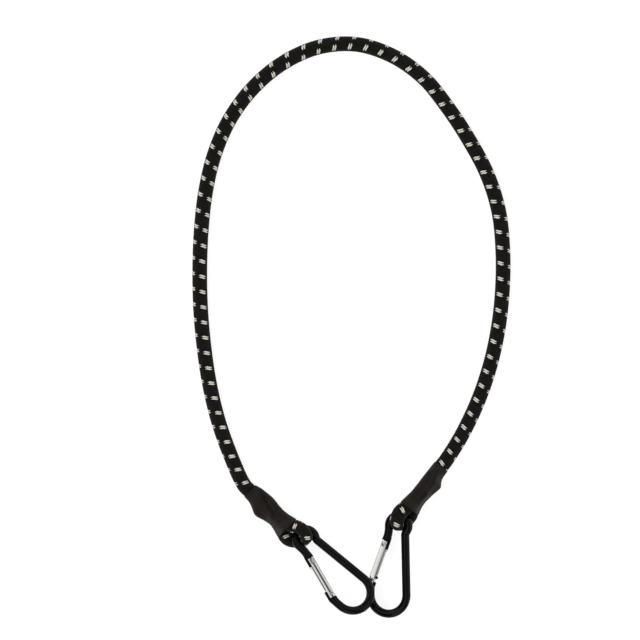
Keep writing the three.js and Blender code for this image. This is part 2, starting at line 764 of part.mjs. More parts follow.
/** The compression spring between the plunger and the bottom of the gate's bore. */
function gateSpring() {
  const steps = Math.round(((springEnd - springStart) / springPitch) * springStepsPerTurn);
  const points = Array.from({ length: steps + 1 }, (_, step) => {
    const angle = (2 * Math.PI * step) / springStepsPerTurn;
    const reach = THREE.MathUtils.lerp(springStart, springEnd, step / steps);
    return new THREE.Vector3(reach, springRadius * Math.cos(angle), springRadius * Math.sin(angle));
  });
  const turnPitch = ((springEnd - springStart) / steps) * springStepsPerTurn;
  console.log(`Gate spring, least gap between turns: ${(turnPitch - springWire).toFixed(2)} mm`);
  return loft(ringsAlong(points, points.map(() => springWire / 2), springWireSides));
}

/** A carabiner with its gate, rivet, latch pin, plunger and spring, in the sleeve's frame. */
function carabiner(hook) {
  const frame = carabinerFrame(hook);
  const gate = new THREE.Group();
  gate.position.set(rivetPoint.x, rivetPoint.y, 0);
  gate.rotation.z = gateAngle;
  gate.add(
    piece(`${hook.side}_gate`, gateBody(), 'gate'),
    piece(`${hook.side}_hinge_rivet`, hingeRivet(), 'steel'),
    piece(`${hook.side}_latch_pin`, latchPin(), 'steel'),
    piece(`${hook.side}_spring_plunger`, springPlunger(), 'steel'),
    piece(`${hook.side}_gate_spring`, gateSpring(), 'steel'),
  );
  frame.add(piece(`${hook.side}_carabiner_body`, carabinerBody(), 'rod'), gate);
  return frame;
}

/** One hook end: the folded strand, crimp ring, sleeve and carabiner, set at the cord's end. */
function hookEnd(hook) {
  const group = new THREE.Group();
  const heading = THREE.MathUtils.degToRad(hook.sleeveHeading);
  const [startX, startY] = hook.startPoint;
  group.position.set(
    startX + pieceGap * Math.cos(heading),
    startY + pieceGap * Math.sin(heading),
    0,
  );
  group.rotation.z = heading;
  group.add(
    ...eyeStrand(hook),
    piece(`${hook.side}_crimp_ring`, crimpRing(hook), 'crimp'),
    piece(`${hook.side}_heat_shrink_sleeve`, heatShrinkSleeve(hook), 'sleeve'),
    carabiner(hook),
  );
  return group;
}

const bungeeCord = new THREE.Group();
bungeeCord.add(...freeCord(), ...hooks.map(hookEnd));

export default bungeeCord;
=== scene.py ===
"""The looks of a bungee cord: a stretch cord with a snap carabiner in an eye at each end.

All lengths are metres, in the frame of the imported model: +Z is up and the cord lies on z = 0.
The camera looks straight down, as the photograph does.
"""

import json
import logging
import math
from dataclasses import dataclass
from enum import Enum
from functools import cache
from typing import Iterable, Sequence

import bmesh
import bpy
import numpy as np
from mathutils import Matrix, Vector, noise
from mathutils.bvhtree import BVHTree


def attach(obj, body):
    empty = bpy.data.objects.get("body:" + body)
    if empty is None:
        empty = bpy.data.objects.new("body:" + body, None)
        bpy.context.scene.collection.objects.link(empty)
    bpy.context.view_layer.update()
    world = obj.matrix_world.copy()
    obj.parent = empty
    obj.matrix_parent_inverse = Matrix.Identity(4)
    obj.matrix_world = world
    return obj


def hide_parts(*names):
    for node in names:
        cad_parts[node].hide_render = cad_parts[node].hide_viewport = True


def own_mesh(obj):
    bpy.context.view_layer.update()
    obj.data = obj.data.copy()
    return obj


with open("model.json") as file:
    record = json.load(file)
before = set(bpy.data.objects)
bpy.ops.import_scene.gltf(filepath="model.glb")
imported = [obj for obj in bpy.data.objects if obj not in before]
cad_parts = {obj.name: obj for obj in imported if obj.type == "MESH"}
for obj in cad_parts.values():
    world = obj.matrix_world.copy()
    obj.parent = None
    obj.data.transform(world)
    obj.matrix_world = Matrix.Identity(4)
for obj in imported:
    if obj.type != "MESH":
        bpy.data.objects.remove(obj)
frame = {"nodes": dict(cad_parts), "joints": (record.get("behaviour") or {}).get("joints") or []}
LOG = logging.getLogger("bungee_cord")

Flat = tuple[float, float]
Point = tuple[float, float, float]
Mesh = bpy.types.Mesh
Node = bpy.types.Node
NodeTree = bpy.types.NodeTree
Socket = bpy.types.NodeSocket

MM = 0.001
FULL_TURN = 2 * math.pi
UP = np.array([0.0, 0.0, 1.0])
YARN_MAP = "yarn_map"
PIECE_SPACE = "piece_space"
# The name of the groove depths on a sleeve, which its finish turns into painted shade.
PRESSED = "pressed"


class Side(Enum):
    """The two hook ends, as they lie in the photograph."""

    LEFT = "left"
    RIGHT = "right"

    def name_of(self, piece: str) -> str:
        """The name that a piece, node, body or joint has on this side."""
        return f"{self.value}_{piece}"


# Plain geometry


def unit(vector: np.ndarray) -> np.ndarray:
    """The vector at length one."""
    return vector / np.linalg.norm(vector)


def smooth_run(points: np.ndarray, per_span: int) -> tuple[np.ndarray, np.ndarray]:
    """Points on a centripetal curve through a row of stops.

    Args:
        points: The stops, one row each.
        per_span: How many steps lie between two stops.

    Returns:
        The points, and for each its place along the row, counted in stops.
    """
    row = np.vstack([2 * points[0] - points[1], points, 2 * points[-1] - points[-2]])
    made, places = [], []
    for span in range(len(points) - 1):
        before, start, end, after = row[span : span + 4]
        pairs = (before, start), (start, end), (end, after)
        one, two, three = (np.linalg.norm(b - a) ** 0.5 for a, b in pairs)
        leave = (start - before) / one - (end - before) / (one + two) + (end - start) / two
        reach = (end - start) / two - (after - start) / (two + three) + (after - end) / three
        for step in range(per_span + (span == len(points) - 2)):
            t = step / per_span
            made.append(
                start * (2 * t**3 - 3 * t**2 + 1)
                + leave * two * (t**3 - 2 * t**2 + t)
                + end * (3 * t**2 - 2 * t**3)
                + reach * two * (t**3 - t**2)
            )
            places.append(span + t)
    return np.array(made), np.array(places)


def smooth_share(values: np.ndarray, low: float, high: float) -> np.ndarray:
    """How far values have come from one limit to another, from nought to one, with soft ends."""
    share = np.clip((values - low) / (high - low), 0, 1)
    return share**2 * (3 - 2 * share)


def smoothed(values: np.ndarray, rounds: int) -> np.ndarray:
    """Rounds the corners of a row of values.

    Args:
        values: The values, or rows of them.
        rounds: How often each takes on some of its neighbours.

    Returns:
        The smoothed values.
    """
    for _ in range(rounds):
        padded = np.concatenate([values[:1], values, values[-1:]])
        values = (padded[:-2] + 2 * padded[1:-1] + padded[2:]) / 4
    return values


def arc_lengths(points: np.ndarray) -> np.ndarray:
    """The distance along a row of points, at each point."""
    return np.concatenate([[0.0], np.cumsum(np.linalg.norm(np.diff(points, axis=0), axis=1))])


def turn_angles(count: int) -> np.ndarray:
    """The angles of the even steps of one turn."""
    return np.arange(count) * FULL_TURN / count


def carried_frames(points: np.ndarray) -> tuple[np.ndarray, np.ndarray]:
    """Two directions square to a path at each point, carried along it without twist.

    Args:
        points: The path.

    Returns:
        The direction that starts nearest to up and the direction to its side, one row per point.
    """
    up = UP
    ups, asides = [], []
    for step in np.gradient(points, axis=0):
        step = unit(step)
        up = unit(up - step * step.dot(up))
        ups.append(up)
        asides.append(np.cross(step, up))
    return np.array(ups), np.array(asides)


def rings_round(points: np.ndarray, heights: np.ndarray, widths: np.ndarray, sides: int) -> np.ndarray:
    """Oval rings of points square to a path.

    Args:
        points: The path.
        heights: The half height of each ring.
        widths: The half width of each ring.
        sides: How many points a ring has.

    Returns:
        An array of rings, ring by point by coordinate.
    """
    ups, asides = carried_frames(points)
    angles = turn_angles(sides)
    rise = heights[:, None, None] * ups[:, None, :] * np.cos(angles)[None, :, None]
    side = widths[:, None, None] * asides[:, None, :] * np.sin(angles)[None, :, None]
    return points[:, None, :] + rise + side


# Meshes


def new_piece(name: str, mesh: Mesh) -> bpy.types.Object:
    """A linked object that holds a mesh.

    Args:
        name: The object's name.
        mesh: The mesh.

    Returns:
        The object.
    """
    piece = bpy.data.objects.new(name, mesh)
    bpy.context.scene.collection.objects.link(piece)
    return piece


def kept_mesh(work: bmesh.types.BMesh, mesh: Mesh) -> Mesh:
    """Writes a work mesh to a mesh, with its faces turned outwards.

    Args:
        work: The work mesh, which is closed and is freed.
        mesh: The mesh to fill.

    Returns:
        The filled mesh.
    """
    bmesh.ops.recalc_face_normals(work, faces=work.faces)
    if work.calc_volume(signed=True) < 0:
        bmesh.ops.reverse_faces(work, faces=work.faces)
    work.to_mesh(mesh)
    work.free()
    return mesh


def tube_mesh(
    name: str,
    outer: np.ndarray,
    inner: np.ndarray | None = None,
    along: np.ndarray | float = 0.0,
    around: np.ndarray | float = 0.0,
) -> Mesh:
    """A tube over rings of points, with a yarn map of its length and its turn.

    Args:
        name: The mesh's name.
        outer: The rings of the outside.
        inner: The rings of the bore. Without them the tube is a capped rod.
        along: The yarn map's value along the tube, one per ring.
        around: The turn, in shares, that the yarn map starts from, one per ring.

    Returns:
        The mesh, shaded smooth.
    """
    count, sides = outer.shape[:2]
    layers = [outer] if inner is None else [outer, inner]
    along, around = np.zeros(count) + along, np.zeros(count) + around
    faces: list[tuple[int, ...]] = []
    maps: list[Flat] = []
    for index in range(len(layers)):
        order = -1 if index == 0 else 1
        for ring in range(count - 1):
            low = (index * count + ring) * sides
            for side in range(sides):
                corners = [(0, side), (0, side + 1), (1, side + 1), (1, side)][::order]
                faces.append(tuple(low + up * sides + turn % sides for up, turn in corners))
                maps.extend((along[ring + up], turn / sides + around[ring + up]) for up, turn in corners)
    for ring, order in ((0, 1), (count - 1, -1)):
        if inner is None:
            cap = [ring * sides + side for side in range(sides)]
            faces.append(tuple(cap[::order]))
            maps.extend((along[ring], 0.0) for _ in cap)
            continue
        for side in range(sides):
            rim = [ring * sides + side, ring * sides + (side + 1) % sides]
            quad = rim + [count * sides + corner for corner in reversed(rim)]
            faces.append(tuple(quad[::order]))
            maps.extend((along[ring], side / sides) for _ in quad)
    mesh = bpy.data.meshes.new(name)
    mesh.from_pydata(np.concatenate([layer.reshape(-1, 3) for layer in layers]).tolist(), [], faces)
    mesh.uv_layers.new(name=YARN_MAP).data.foreach_set("uv", np.array(maps, np.float32).ravel())
    mesh.shade_smooth()
    work = bmesh.new()
    work.from_mesh(mesh)
    return kept_mesh(work, mesh)


def turned_mesh(profile: Sequence[Flat], sides: int, along_x: bool = False, name: str = "cutter") -> Mesh:
    """A body turned on a lathe.

    Args:
        profile: Rows of radius and height, from the bottom's middle to the top's middle.
        sides: How many facets the turned faces have.
        along_x: Whether the body is turned about X and not about Z.
        name: The mesh's name.

    Returns:
        The closed mesh.
    """
    work = bmesh.new()
    rings: list[list[bmesh.types.BMVert]] = []
    for radius, height in profile:
        angles = turn_angles(sides) if radius > 0 else (0.0,)
        rings.append([work.verts.new((radius * math.cos(a), radius * math.sin(a), height)) for a in angles])
    for low, high in zip(rings, rings[1:]):
        for side in range(sides):
            corners = [low[side % len(low)], low[(side + 1) % len(low)]]
            corners += [high[(side + 1) % len(high)], high[side % len(high)]]
            distinct = list(dict.fromkeys(corners))
            if len(distinct) > 2:
                work.faces.new(distinct)
    if along_x:
        turn = Matrix.Rotation(math.pi / 2, 3, "Y")
        bmesh.ops.rotate(work, verts=work.verts, cent=(0, 0, 0), matrix=turn)
    return kept_mesh(work, bpy.data.meshes.new(name))


def rod_profile(radius: float, low: float, high: float) -> list[Flat]:
    """The lathe profile of a plain rod."""
    return [(0, low), (radius, low), (radius, high), (0, high)]


def box_mesh(low: Point, high: Point) -> Mesh:
    """A plain block, used as a cutter.

    Args:
        low: Its lowest corner.
        high: Its highest corner.

    Returns:
        The mesh.
    """
    work = bmesh.new()
    bmesh.ops.create_cube(work, size=1.0)
    size = Vector([b - a for a, b in zip(low, high)])
    middle = Vector([(a + b) / 2 for a, b in zip(low, high)])
    bmesh.ops.transform(work, matrix=Matrix.LocRotScale(middle, None, size), verts=work.verts)
    return kept_mesh(work, bpy.data.meshes.new("cutter"))


def shade_soft(mesh: Mesh, degrees: float) -> Mesh:
    """Shades a mesh smooth, with edges sharper than an angle left sharp.

    Args:
        mesh: The mesh.
        degrees: The angle.

    Returns:
        The same mesh.
    """
    mesh.shade_smooth()
    mesh.set_sharp_from_angle(angle=math.radians(degrees))
    return mesh


def modify(piece: bpy.types.Object, kind: str, **settings: object) -> None:
    """Gives a piece a modifier.

    Args:
        piece: The piece.
        kind: The modifier's type.
        **settings: Values for the modifier's own properties.
    """
    modifier = piece.modifiers.new(kind, kind)
    for key, value in settings.items():
        setattr(modifier, key, value)


def machined(name: str, blank: Mesh, cutters: Iterable[Mesh], edge: float) -> Mesh:
    """A blank with cutters taken away and its sharp edges broken.

    Args:
        name: The mesh's name.
        blank: The uncut mesh.
        cutters: The meshes to take away.
        edge: The width of the broken edges.

    Returns:
        The cut mesh, shaded smooth between its sharp edges.
    """
    broken_from, sharp_from = math.radians(38), 32
    piece = new_piece(name, blank)
    tools = [new_piece("tool", cutter) for cutter in cutters]
    for tool in tools:
        modify(piece, "BOOLEAN", operation="DIFFERENCE", solver="EXACT", object=tool)
    limits = {"limit_method": "ANGLE", "angle_limit": broken_from}
    modify(piece, "BEVEL", width=edge, segments=2, miter_outer="MITER_ARC", **limits)
    graph = bpy.context.evaluated_depsgraph_get()
    made = bpy.data.meshes.new_from_object(piece.evaluated_get(graph), depsgraph=graph)
    for extra in (*tools, piece):
        bpy.data.objects.remove(extra)
    made.name = name
    return shade_soft(made, sharp_from)


def keep_piece_space(mesh: Mesh, heading_degrees: float = 0.0) -> None:
    """Keeps each point's place in the piece's own frame, for finishes that run along the piece.

    Args:
        mesh: The mesh.
        heading_degrees: How far the piece's own X axis is turned from the mesh's.
    """
    angle = math.radians(-heading_degrees)
    cosine, sine = math.cos(angle), math.sin(angle)
    turn = np.array([[cosine, -sine, 0], [sine, cosine, 0], [0, 0, 1]])
    places = np.zeros((len(mesh.vertices), 3), np.float32)
    mesh.vertices.foreach_get("co", places.ravel())
    places = (places @ turn.T).astype(np.float32)
    mesh.attributes.new(PIECE_SPACE, "FLOAT_VECTOR", "POINT").data.foreach_set("vector", places.ravel())


# Shader nodes


@dataclass
class Graph:
    """A node tree that is built from left to right."""

    tree: NodeTree
    column: int = 0
    step: tuple[int, int] = (180, 140)
    rows: int = 5

    def add(self, kind: str, **settings: object) -> Node:
        """A new node with some of its settings.

        Args:
            kind: The node's type.
            **settings: Values for the node's own properties.

        Returns:
            The node.
        """
        node = self.tree.nodes.new(kind)
        for key, value in settings.items():
            setattr(node, key, value)
        node.location = (self.column * self.step[0], -(self.column % self.rows) * self.step[1])
        self.column += 1
        return node

    def feed(self, socket: Socket, value: object) -> None:
        """Links an input to a socket, or sets its own value.

        Args:
            socket: The input.
            value: A socket or a value. A colour may leave out its alpha.
        """
        if isinstance(value, Socket):
            self.tree.links.new(value, socket)
        elif isinstance(value, tuple) and socket.type == "RGBA":
            socket.default_value = (*value, 1.0)[:4]
        else:
            socket.default_value = value

    def fill(self, node: Node, **values: object) -> Node:
        """Feeds a node's inputs by name.

        Args:
            node: The node.
            **values: Sockets or values by input name, with spaces written as underscores.

        Returns:
            The same node.
        """
        for key, value in values.items():
            self.feed(node.inputs[key.replace("_", " ")], value)
        return node

    def math(self, operation: str, *values: object, clamp: bool = False) -> Socket:
        """A math node's result.

        Args:
            operation: What it does.
            *values: Its sockets or values, in order.
            clamp: Whether the result is kept from nought to one.

        Returns:
            The result.
        """
        node = self.add("ShaderNodeMath", operation=operation, use_clamp=clamp)
        for socket, value in zip(node.inputs, values):
            self.feed(socket, value)
        return node.outputs[0]

    def times(self, first: object, second: object) -> Socket:
        """A product."""
        return self.math("MULTIPLY", first, second)

    def minus(self, first: object, second: object) -> Socket:
        """A difference."""
        return self.math("SUBTRACT", first, second)

    def wrap(self, value: object, length: float) -> Socket:
        """What is left of a value after whole lengths."""
        return self.math("FLOORED_MODULO", value, length)

    def ramp(self, value: object, low: float, high: float, start: float = 0.0, end: float = 1.0) -> Socket:
        """A smooth step of a value between two limits.

        Args:
            value: What is mapped.
            low: The value at which the result leaves its start.
            high: The value at which the result reaches its end.
            start: The first result.
            end: The last result.

        Returns:
            The mapped value.
        """
        node = self.add("ShaderNodeMapRange", interpolation_type="SMOOTHSTEP")
        self.fill(node, Value=value, From_Min=low, From_Max=high, To_Min=start, To_Max=end)
        return node.outputs[0]

    def mix(self, factor: object, first: object, second: object) -> Socket:
        """A mix of two colours.

        Args:
            factor: The second colour's share.
            first: The first colour.
            second: The second colour.

        Returns:
            The mixed colour.
        """
        factor_input, first_input, second_input, colour_output = 0, 6, 7, 2
        node = self.add("ShaderNodeMix", data_type="RGBA", clamp_factor=True)
        self.feed(node.inputs[factor_input], factor)
        self.feed(node.inputs[first_input], first)
        self.feed(node.inputs[second_input], second)
        return node.outputs[colour_output]

    def choose(self, first_shown: object, first: object, second: object) -> Socket:
        """The first value where the mask is one, and otherwise the second."""
        return self.math("MULTIPLY_ADD", self.minus(first, second), first_shown, second)

    def arch(self, share: object, power: float) -> Socket:
        """A hump that is nought at shares nought and one, and one halfway."""
        centred = self.math("ABSOLUTE", self.math("MULTIPLY_ADD", share, 2.0, -1.0))
        return self.math("SUBTRACT", 1.0, self.math("POWER", centred, power), clamp=True)

    def stops(self, place: object, rows: Sequence[Flat]) -> Socket:
        """A brightness that passes straight from each stop of a row to the next.

        Args:
            place: Where along the row.
            rows: The stops, each a place and a brightness.

        Returns:
            The brightness.
        """
        node = self.add("ShaderNodeValToRGB")
        node.color_ramp.interpolation = "LINEAR"
        elements = node.color_ramp.elements
        while len(elements) < len(rows):
            elements.new(1.0)
        for element, (at, value) in zip(elements, rows):
            element.position = at
            element.color = (value, value, value, 1.0)
        self.feed(node.inputs["Fac"], place)
        return node.outputs["Color"]

    def over(self, first: object, second: object) -> Socket:
        """A quotient."""
        return self.math("DIVIDE", first, second)

    def grain(self, place: object, scale: object, detail: float = 3.0, rough: float = 0.5) -> Socket:
        """A noise value at a place."""
        node = self.add("ShaderNodeTexNoise")
        return self.fill(node, Vector=place, Scale=scale, Detail=detail, Roughness=rough).outputs[0]

    def bump(self, height: object, distance: float, **normal: Socket) -> Socket:
        """A normal that is pushed by a height."""
        return self.fill(self.add("ShaderNodeBump"), Height=height, Distance=distance, **normal).outputs[0]

    def group(self, tree: NodeTree, **values: object) -> bpy.types.bpy_prop_collection:
        """The outputs of a group node with its inputs fed by name."""
        return self.fill(self.add("ShaderNodeGroup", node_tree=tree), **values).outputs

    def piece_place(self) -> Socket:
        """A point's place in its piece's own frame."""
        return self.add("ShaderNodeAttribute", attribute_name=PIECE_SPACE).outputs["Vector"]


def new_effect(
    name: str, inputs: dict[str, object], outputs: Iterable[str]
) -> tuple[Graph, bpy.types.bpy_prop_collection, Node]:
    """An empty shader node group with named sockets.

    Args:
        name: The group's name.
        inputs: Default values by socket name. A tuple makes a vector.
        outputs: The names of the values that it puts out.

    Returns:
        The group's graph, the sockets of its input node, and its output node.
    """
    tree = bpy.data.node_groups.new(name, "ShaderNodeTree")
    for label, value in inputs.items():
        kind = "NodeSocketVector" if isinstance(value, tuple) else "NodeSocketFloat"
        tree.interface.new_socket(name=label, in_out="INPUT", socket_type=kind).default_value = value
    for label in outputs:
        tree.interface.new_socket(name=label, in_out="OUTPUT", socket_type="NodeSocketFloat")
    graph = Graph(tree)
    return graph, graph.add("NodeGroupInput").outputs, graph.add("NodeGroupOutput")


@cache
def braid_effect() -> NodeTree:
    """A two-over-two braid of sixteen yarns, two of them light.

    Eight yarns run round the cord each way. Along counts in turns of one yarn, and Around in turns
    of the cord. A yarn lies on top for two crossings and then dips under two.

    Returns:
        The node group.
    """
    yarns, light_yarns, on_top = 8, 2, 2
    cycle, half = 2 * on_top, 0.5
    filaments, filament_height = 25.0, 0.05
    crown_height, yarn_edge, crown_edge, way_apart = 0.65, (0.18, 0.5), (0.05, 0.35), 31.0
    outputs = ("Height", "Tracer", "Shade")
    graph, given, result = new_effect("Two-over-two braid", {"Along": 0.0, "Around": 0.0}, outputs)
    rising = graph.times(graph.math("ADD", given["Along"], given["Around"]), yarns)
    falling = graph.times(graph.minus(given["Along"], given["Around"]), yarns)
    rising_yarn, falling_yarn = graph.math("FLOOR", rising), graph.math("FLOOR", falling)
    rising_on_top = graph.math(
        "LESS_THAN", graph.wrap(graph.minus(falling_yarn, rising_yarn), cycle), on_top - half
    )
    behind = graph.math("ADD", graph.minus(rising, falling_yarn), cycle - 1)
    starts = graph.minus(falling, rising_yarn), behind
    floats = [graph.times(graph.wrap(start, cycle), 1 / on_top) for start in starts]
    across = graph.choose(rising_on_top, graph.math("FRACT", rising), graph.math("FRACT", falling))
    round_yarn, crown = graph.arch(across, 2.0), graph.arch(graph.choose(rising_on_top, *floats), 4.0)
    threads = graph.math("SINE", graph.times(across, filaments))
    swell = graph.math("MULTIPLY_ADD", crown, crown_height, 1 - crown_height)
    body = graph.times(graph.math("SQRT", round_yarn), swell)
    number = graph.wrap(rising_yarn, yarns)
    light = graph.times(graph.math("LESS_THAN", number, light_yarns - half), rising_on_top)
    shown = graph.times(graph.ramp(round_yarn, *yarn_edge), graph.ramp(crown, *crown_edge))
    seed = graph.choose(rising_on_top, number, graph.wrap(falling_yarn, yarns))
    chance = graph.add("ShaderNodeTexWhiteNoise", noise_dimensions="1D")
    graph.fill(chance, W=graph.math("MULTIPLY_ADD", rising_on_top, way_apart, seed))
    height = graph.math("MULTIPLY_ADD", threads, filament_height, body)
    graph.fill(result, Height=height, Tracer=graph.times(light, shown), Shade=chance.outputs["Value"])
    return graph.tree


@cache
def mottle_effect() -> NodeTree:
    """Uneven tone, a fine skin and specks of dust, at sizes given in metres.

    Returns:
        The node group.
    """
    specks_apart, speck_edge = 4.0, (0.02, 0.055)
    inputs = {"Place": (0.0, 0.0, 0.0), "Patch": 4 * MM, "Skin": 0.3 * MM}
    graph, given, result = new_effect("Mottled skin", inputs, ("Patches", "Skin", "Specks"))
    cells = graph.add("ShaderNodeTexVoronoi", feature="F1")
    graph.fill(cells, Vector=given["Place"], Scale=graph.over(1 / specks_apart, given["Patch"]))
    graph.fill(
        result,
        Patches=graph.grain(given["Place"], graph.over(1.0, given["Patch"])),
        Skin=graph.grain(given["Place"], graph.over(1.0, given["Skin"]), detail=2.0, rough=0.6),
        Specks=graph.ramp(cells.outputs["Distance"], *speck_edge, start=1.0, end=0.0),
    )
    return graph.tree


@cache
def drawn_lines_effect() -> NodeTree:
    """Fine lines that run along a piece's own X axis, as drawing and polishing leave them.

    Returns:
        The node group.
    """
    scuffs_per_line = 0.08
    inputs = {"Place": (0.0, 0.0, 0.0), "Line": 0.18 * MM, "Stretch": 60.0}
    graph, given, result = new_effect("Drawn lines", inputs, ("Lines", "Scuffs"))
    parts = graph.add("ShaderNodeSeparateXYZ")
    graph.feed(parts.inputs[0], given["Place"])
    joined = graph.add("ShaderNodeCombineXYZ")
    shrunk = graph.over(parts.outputs[0], given["Stretch"])
    for socket, value in zip(joined.inputs, (shrunk, parts.outputs[1], parts.outputs[2])):
        graph.feed(socket, value)
    scuff_scale = graph.over(scuffs_per_line, given["Line"])
    graph.fill(
        result,
        Lines=graph.grain(joined.outputs[0], graph.over(1.0, given["Line"]), detail=2.0),
        Scuffs=graph.grain(given["Place"], scuff_scale, detail=4.0, rough=0.65),
    )
    return graph.tree


@cache
def rubbed_edges_effect() -> NodeTree:
    """Where a hard piece's corners have been rubbed, broken up by noise.

    Returns:
        The node group.
    """
    patches_per_metre, patch_edge = 900.0, (0.42, 0.6)
    inputs = {"Place": (0.0, 0.0, 0.0), "Start": 0.54, "Full": 0.62}
    graph, given, result = new_effect("Rubbed edges", inputs, ("Wear",))
    pointed = graph.add("ShaderNodeNewGeometry").outputs["Pointiness"]
    edge = graph.add("ShaderNodeMapRange")
    graph.fill(edge, Value=pointed, From_Min=given["Start"], From_Max=given["Full"])
    patchy = graph.grain(given["Place"], patches_per_metre, detail=4.0, rough=0.6)
    graph.fill(result, Wear=graph.times(edge.outputs[0], graph.ramp(patchy, *patch_edge)))
    return graph.tree


# Finishes


class Finish:
    """What a surface looks like. It becomes a material the first time it is built."""

    name: str

    @cache
    def build(self) -> bpy.types.Material:
        """Makes the material.

        Returns:
            The finished material.
        """
        material = bpy.data.materials.new(self.name)
        material.use_nodes = True
        material.node_tree.nodes.clear()
        graph = Graph(material.node_tree)
        shader = graph.add("ShaderNodeBsdfPrincipled")
        graph.fill(graph.add("ShaderNodeOutputMaterial"), Surface=shader.outputs[0])
        self.wire(graph, shader)
        return material

    def wire(self, graph: Graph, shader: Node) -> None:
        """Feeds the Principled node. Each finish has its own way."""
        raise NotImplementedError


@dataclass(frozen=True)
class BraidedYarn(Finish):
    """Black yarn braided over the rubber, with a pair of light tracer yarns."""

    name: str = "Braided yarn"
    dark: Point = (0.0042, 0.0040, 0.0037)
    dusty: Point = (0.0130, 0.0121, 0.0110)
    light: Point = (0.80, 0.77, 0.69)
    soiled: Point = (0.60, 0.565, 0.49)
    shares: Flat = (0.35, 0.5)
    patch: float = 6 * MM
    skin: float = 0.22 * MM
    soil_edge: Flat = (0.35, 0.7)
    rough_edge: Flat = (0.3, 0.7)
    roughness: Flat = (0.72, 0.9)
    specular: float = 0.12
    sheen: Flat = (0.02, 0.5)
    fuzz: float = 0.18
    yarn_depth: float = 0.28 * MM

    def wire(self, graph: Graph, shader: Node) -> None:
        """Feeds the Principled node from the braid and the mottled skin.

        Args:
            graph: The material's graph.
            shader: Its Principled node.
        """
        parts = graph.add("ShaderNodeSeparateXYZ")
        graph.feed(parts.inputs[0], graph.add("ShaderNodeUVMap", uv_map=YARN_MAP).outputs[0])
        braid = graph.group(braid_effect(), Along=parts.outputs[0], Around=parts.outputs[1])
        skin = graph.group(mottle_effect(), Place=graph.piece_place(), Patch=self.patch, Skin=self.skin)
        patches = graph.times(skin["Patches"], self.shares[1])
        tone = graph.math("MULTIPLY_ADD", braid["Shade"], self.shares[0], patches)
        black = graph.mix(tone, self.dark, self.dusty)
        pale = graph.mix(graph.ramp(skin["Skin"], *self.soil_edge), self.light, self.soiled)
        fuzz = graph.math("MULTIPLY_ADD", skin["Skin"], self.fuzz, braid["Height"])
        graph.fill(
            shader,
            Base_Color=graph.mix(braid["Tracer"], black, pale),
            Roughness=graph.ramp(skin["Skin"], *self.rough_edge, *self.roughness),
            Specular_IOR_Level=self.specular,
            Sheen_Weight=self.sheen[0],
            Sheen_Roughness=self.sheen[1],
            Normal=graph.bump(fuzz, self.yarn_depth),
        )


@dataclass(frozen=True)
class PlainFinish(Finish):
    """A hard or rubbery finish with an uneven tone, drawn lines and rubbed edges."""

    name: str
    colour: Point
    worn: Point
    metallic: float
    roughness: Flat
    line_depth: float = 0.0
    skin_depth: float = 0.0
    wear: float = 0.0
    patch: float = 4 * MM
    skin: float = 0.25 * MM
    specular: float = 0.5
    coat: float = 0.0
    tone_edge: Flat = (0.35, 0.75)
    tone_share: float = 0.35
    line_share: float = 0.5
    rough_edge: Flat = (0.3, 0.7)

    def wire(self, graph: Graph, shader: Node) -> None:
        """Feeds the Principled node from the skin, the lines and the edges.

        Args:
            graph: The material's graph.
            shader: Its Principled node.
        """
        place = graph.piece_place()
        skin = graph.group(mottle_effect(), Place=place, Patch=self.patch, Skin=self.skin)
        lines = graph.group(drawn_lines_effect(), Place=place)
        tone = graph.times(graph.ramp(skin["Patches"], *self.tone_edge), self.tone_share)
        base = graph.mix(tone, self.colour, self.worn)
        if self.wear > 0:
            edges = graph.group(rubbed_edges_effect(), Place=place)
            base = graph.mix(graph.times(edges["Wear"], self.wear), base, self.worn)
        scuffs = graph.times(lines["Scuffs"], 1 - self.line_share)
        uneven = graph.math("MULTIPLY_ADD", lines["Lines"], self.line_share, scuffs)
        graph.fill(
            shader,
            Base_Color=base,
            Roughness=graph.ramp(uneven, *self.rough_edge, *self.roughness),
            Metallic=self.metallic,
            Specular_IOR_Level=self.specular,
            Coat_Weight=self.coat,
        )
        normal: dict[str, Socket] = {}
        if self.line_depth > 0:
            normal["Normal"] = graph.bump(lines["Lines"], self.line_depth)
        if self.skin_depth > 0:
            normal["Normal"] = graph.bump(skin["Skin"], self.skin_depth, **normal)
        graph.fill(shader, **normal)


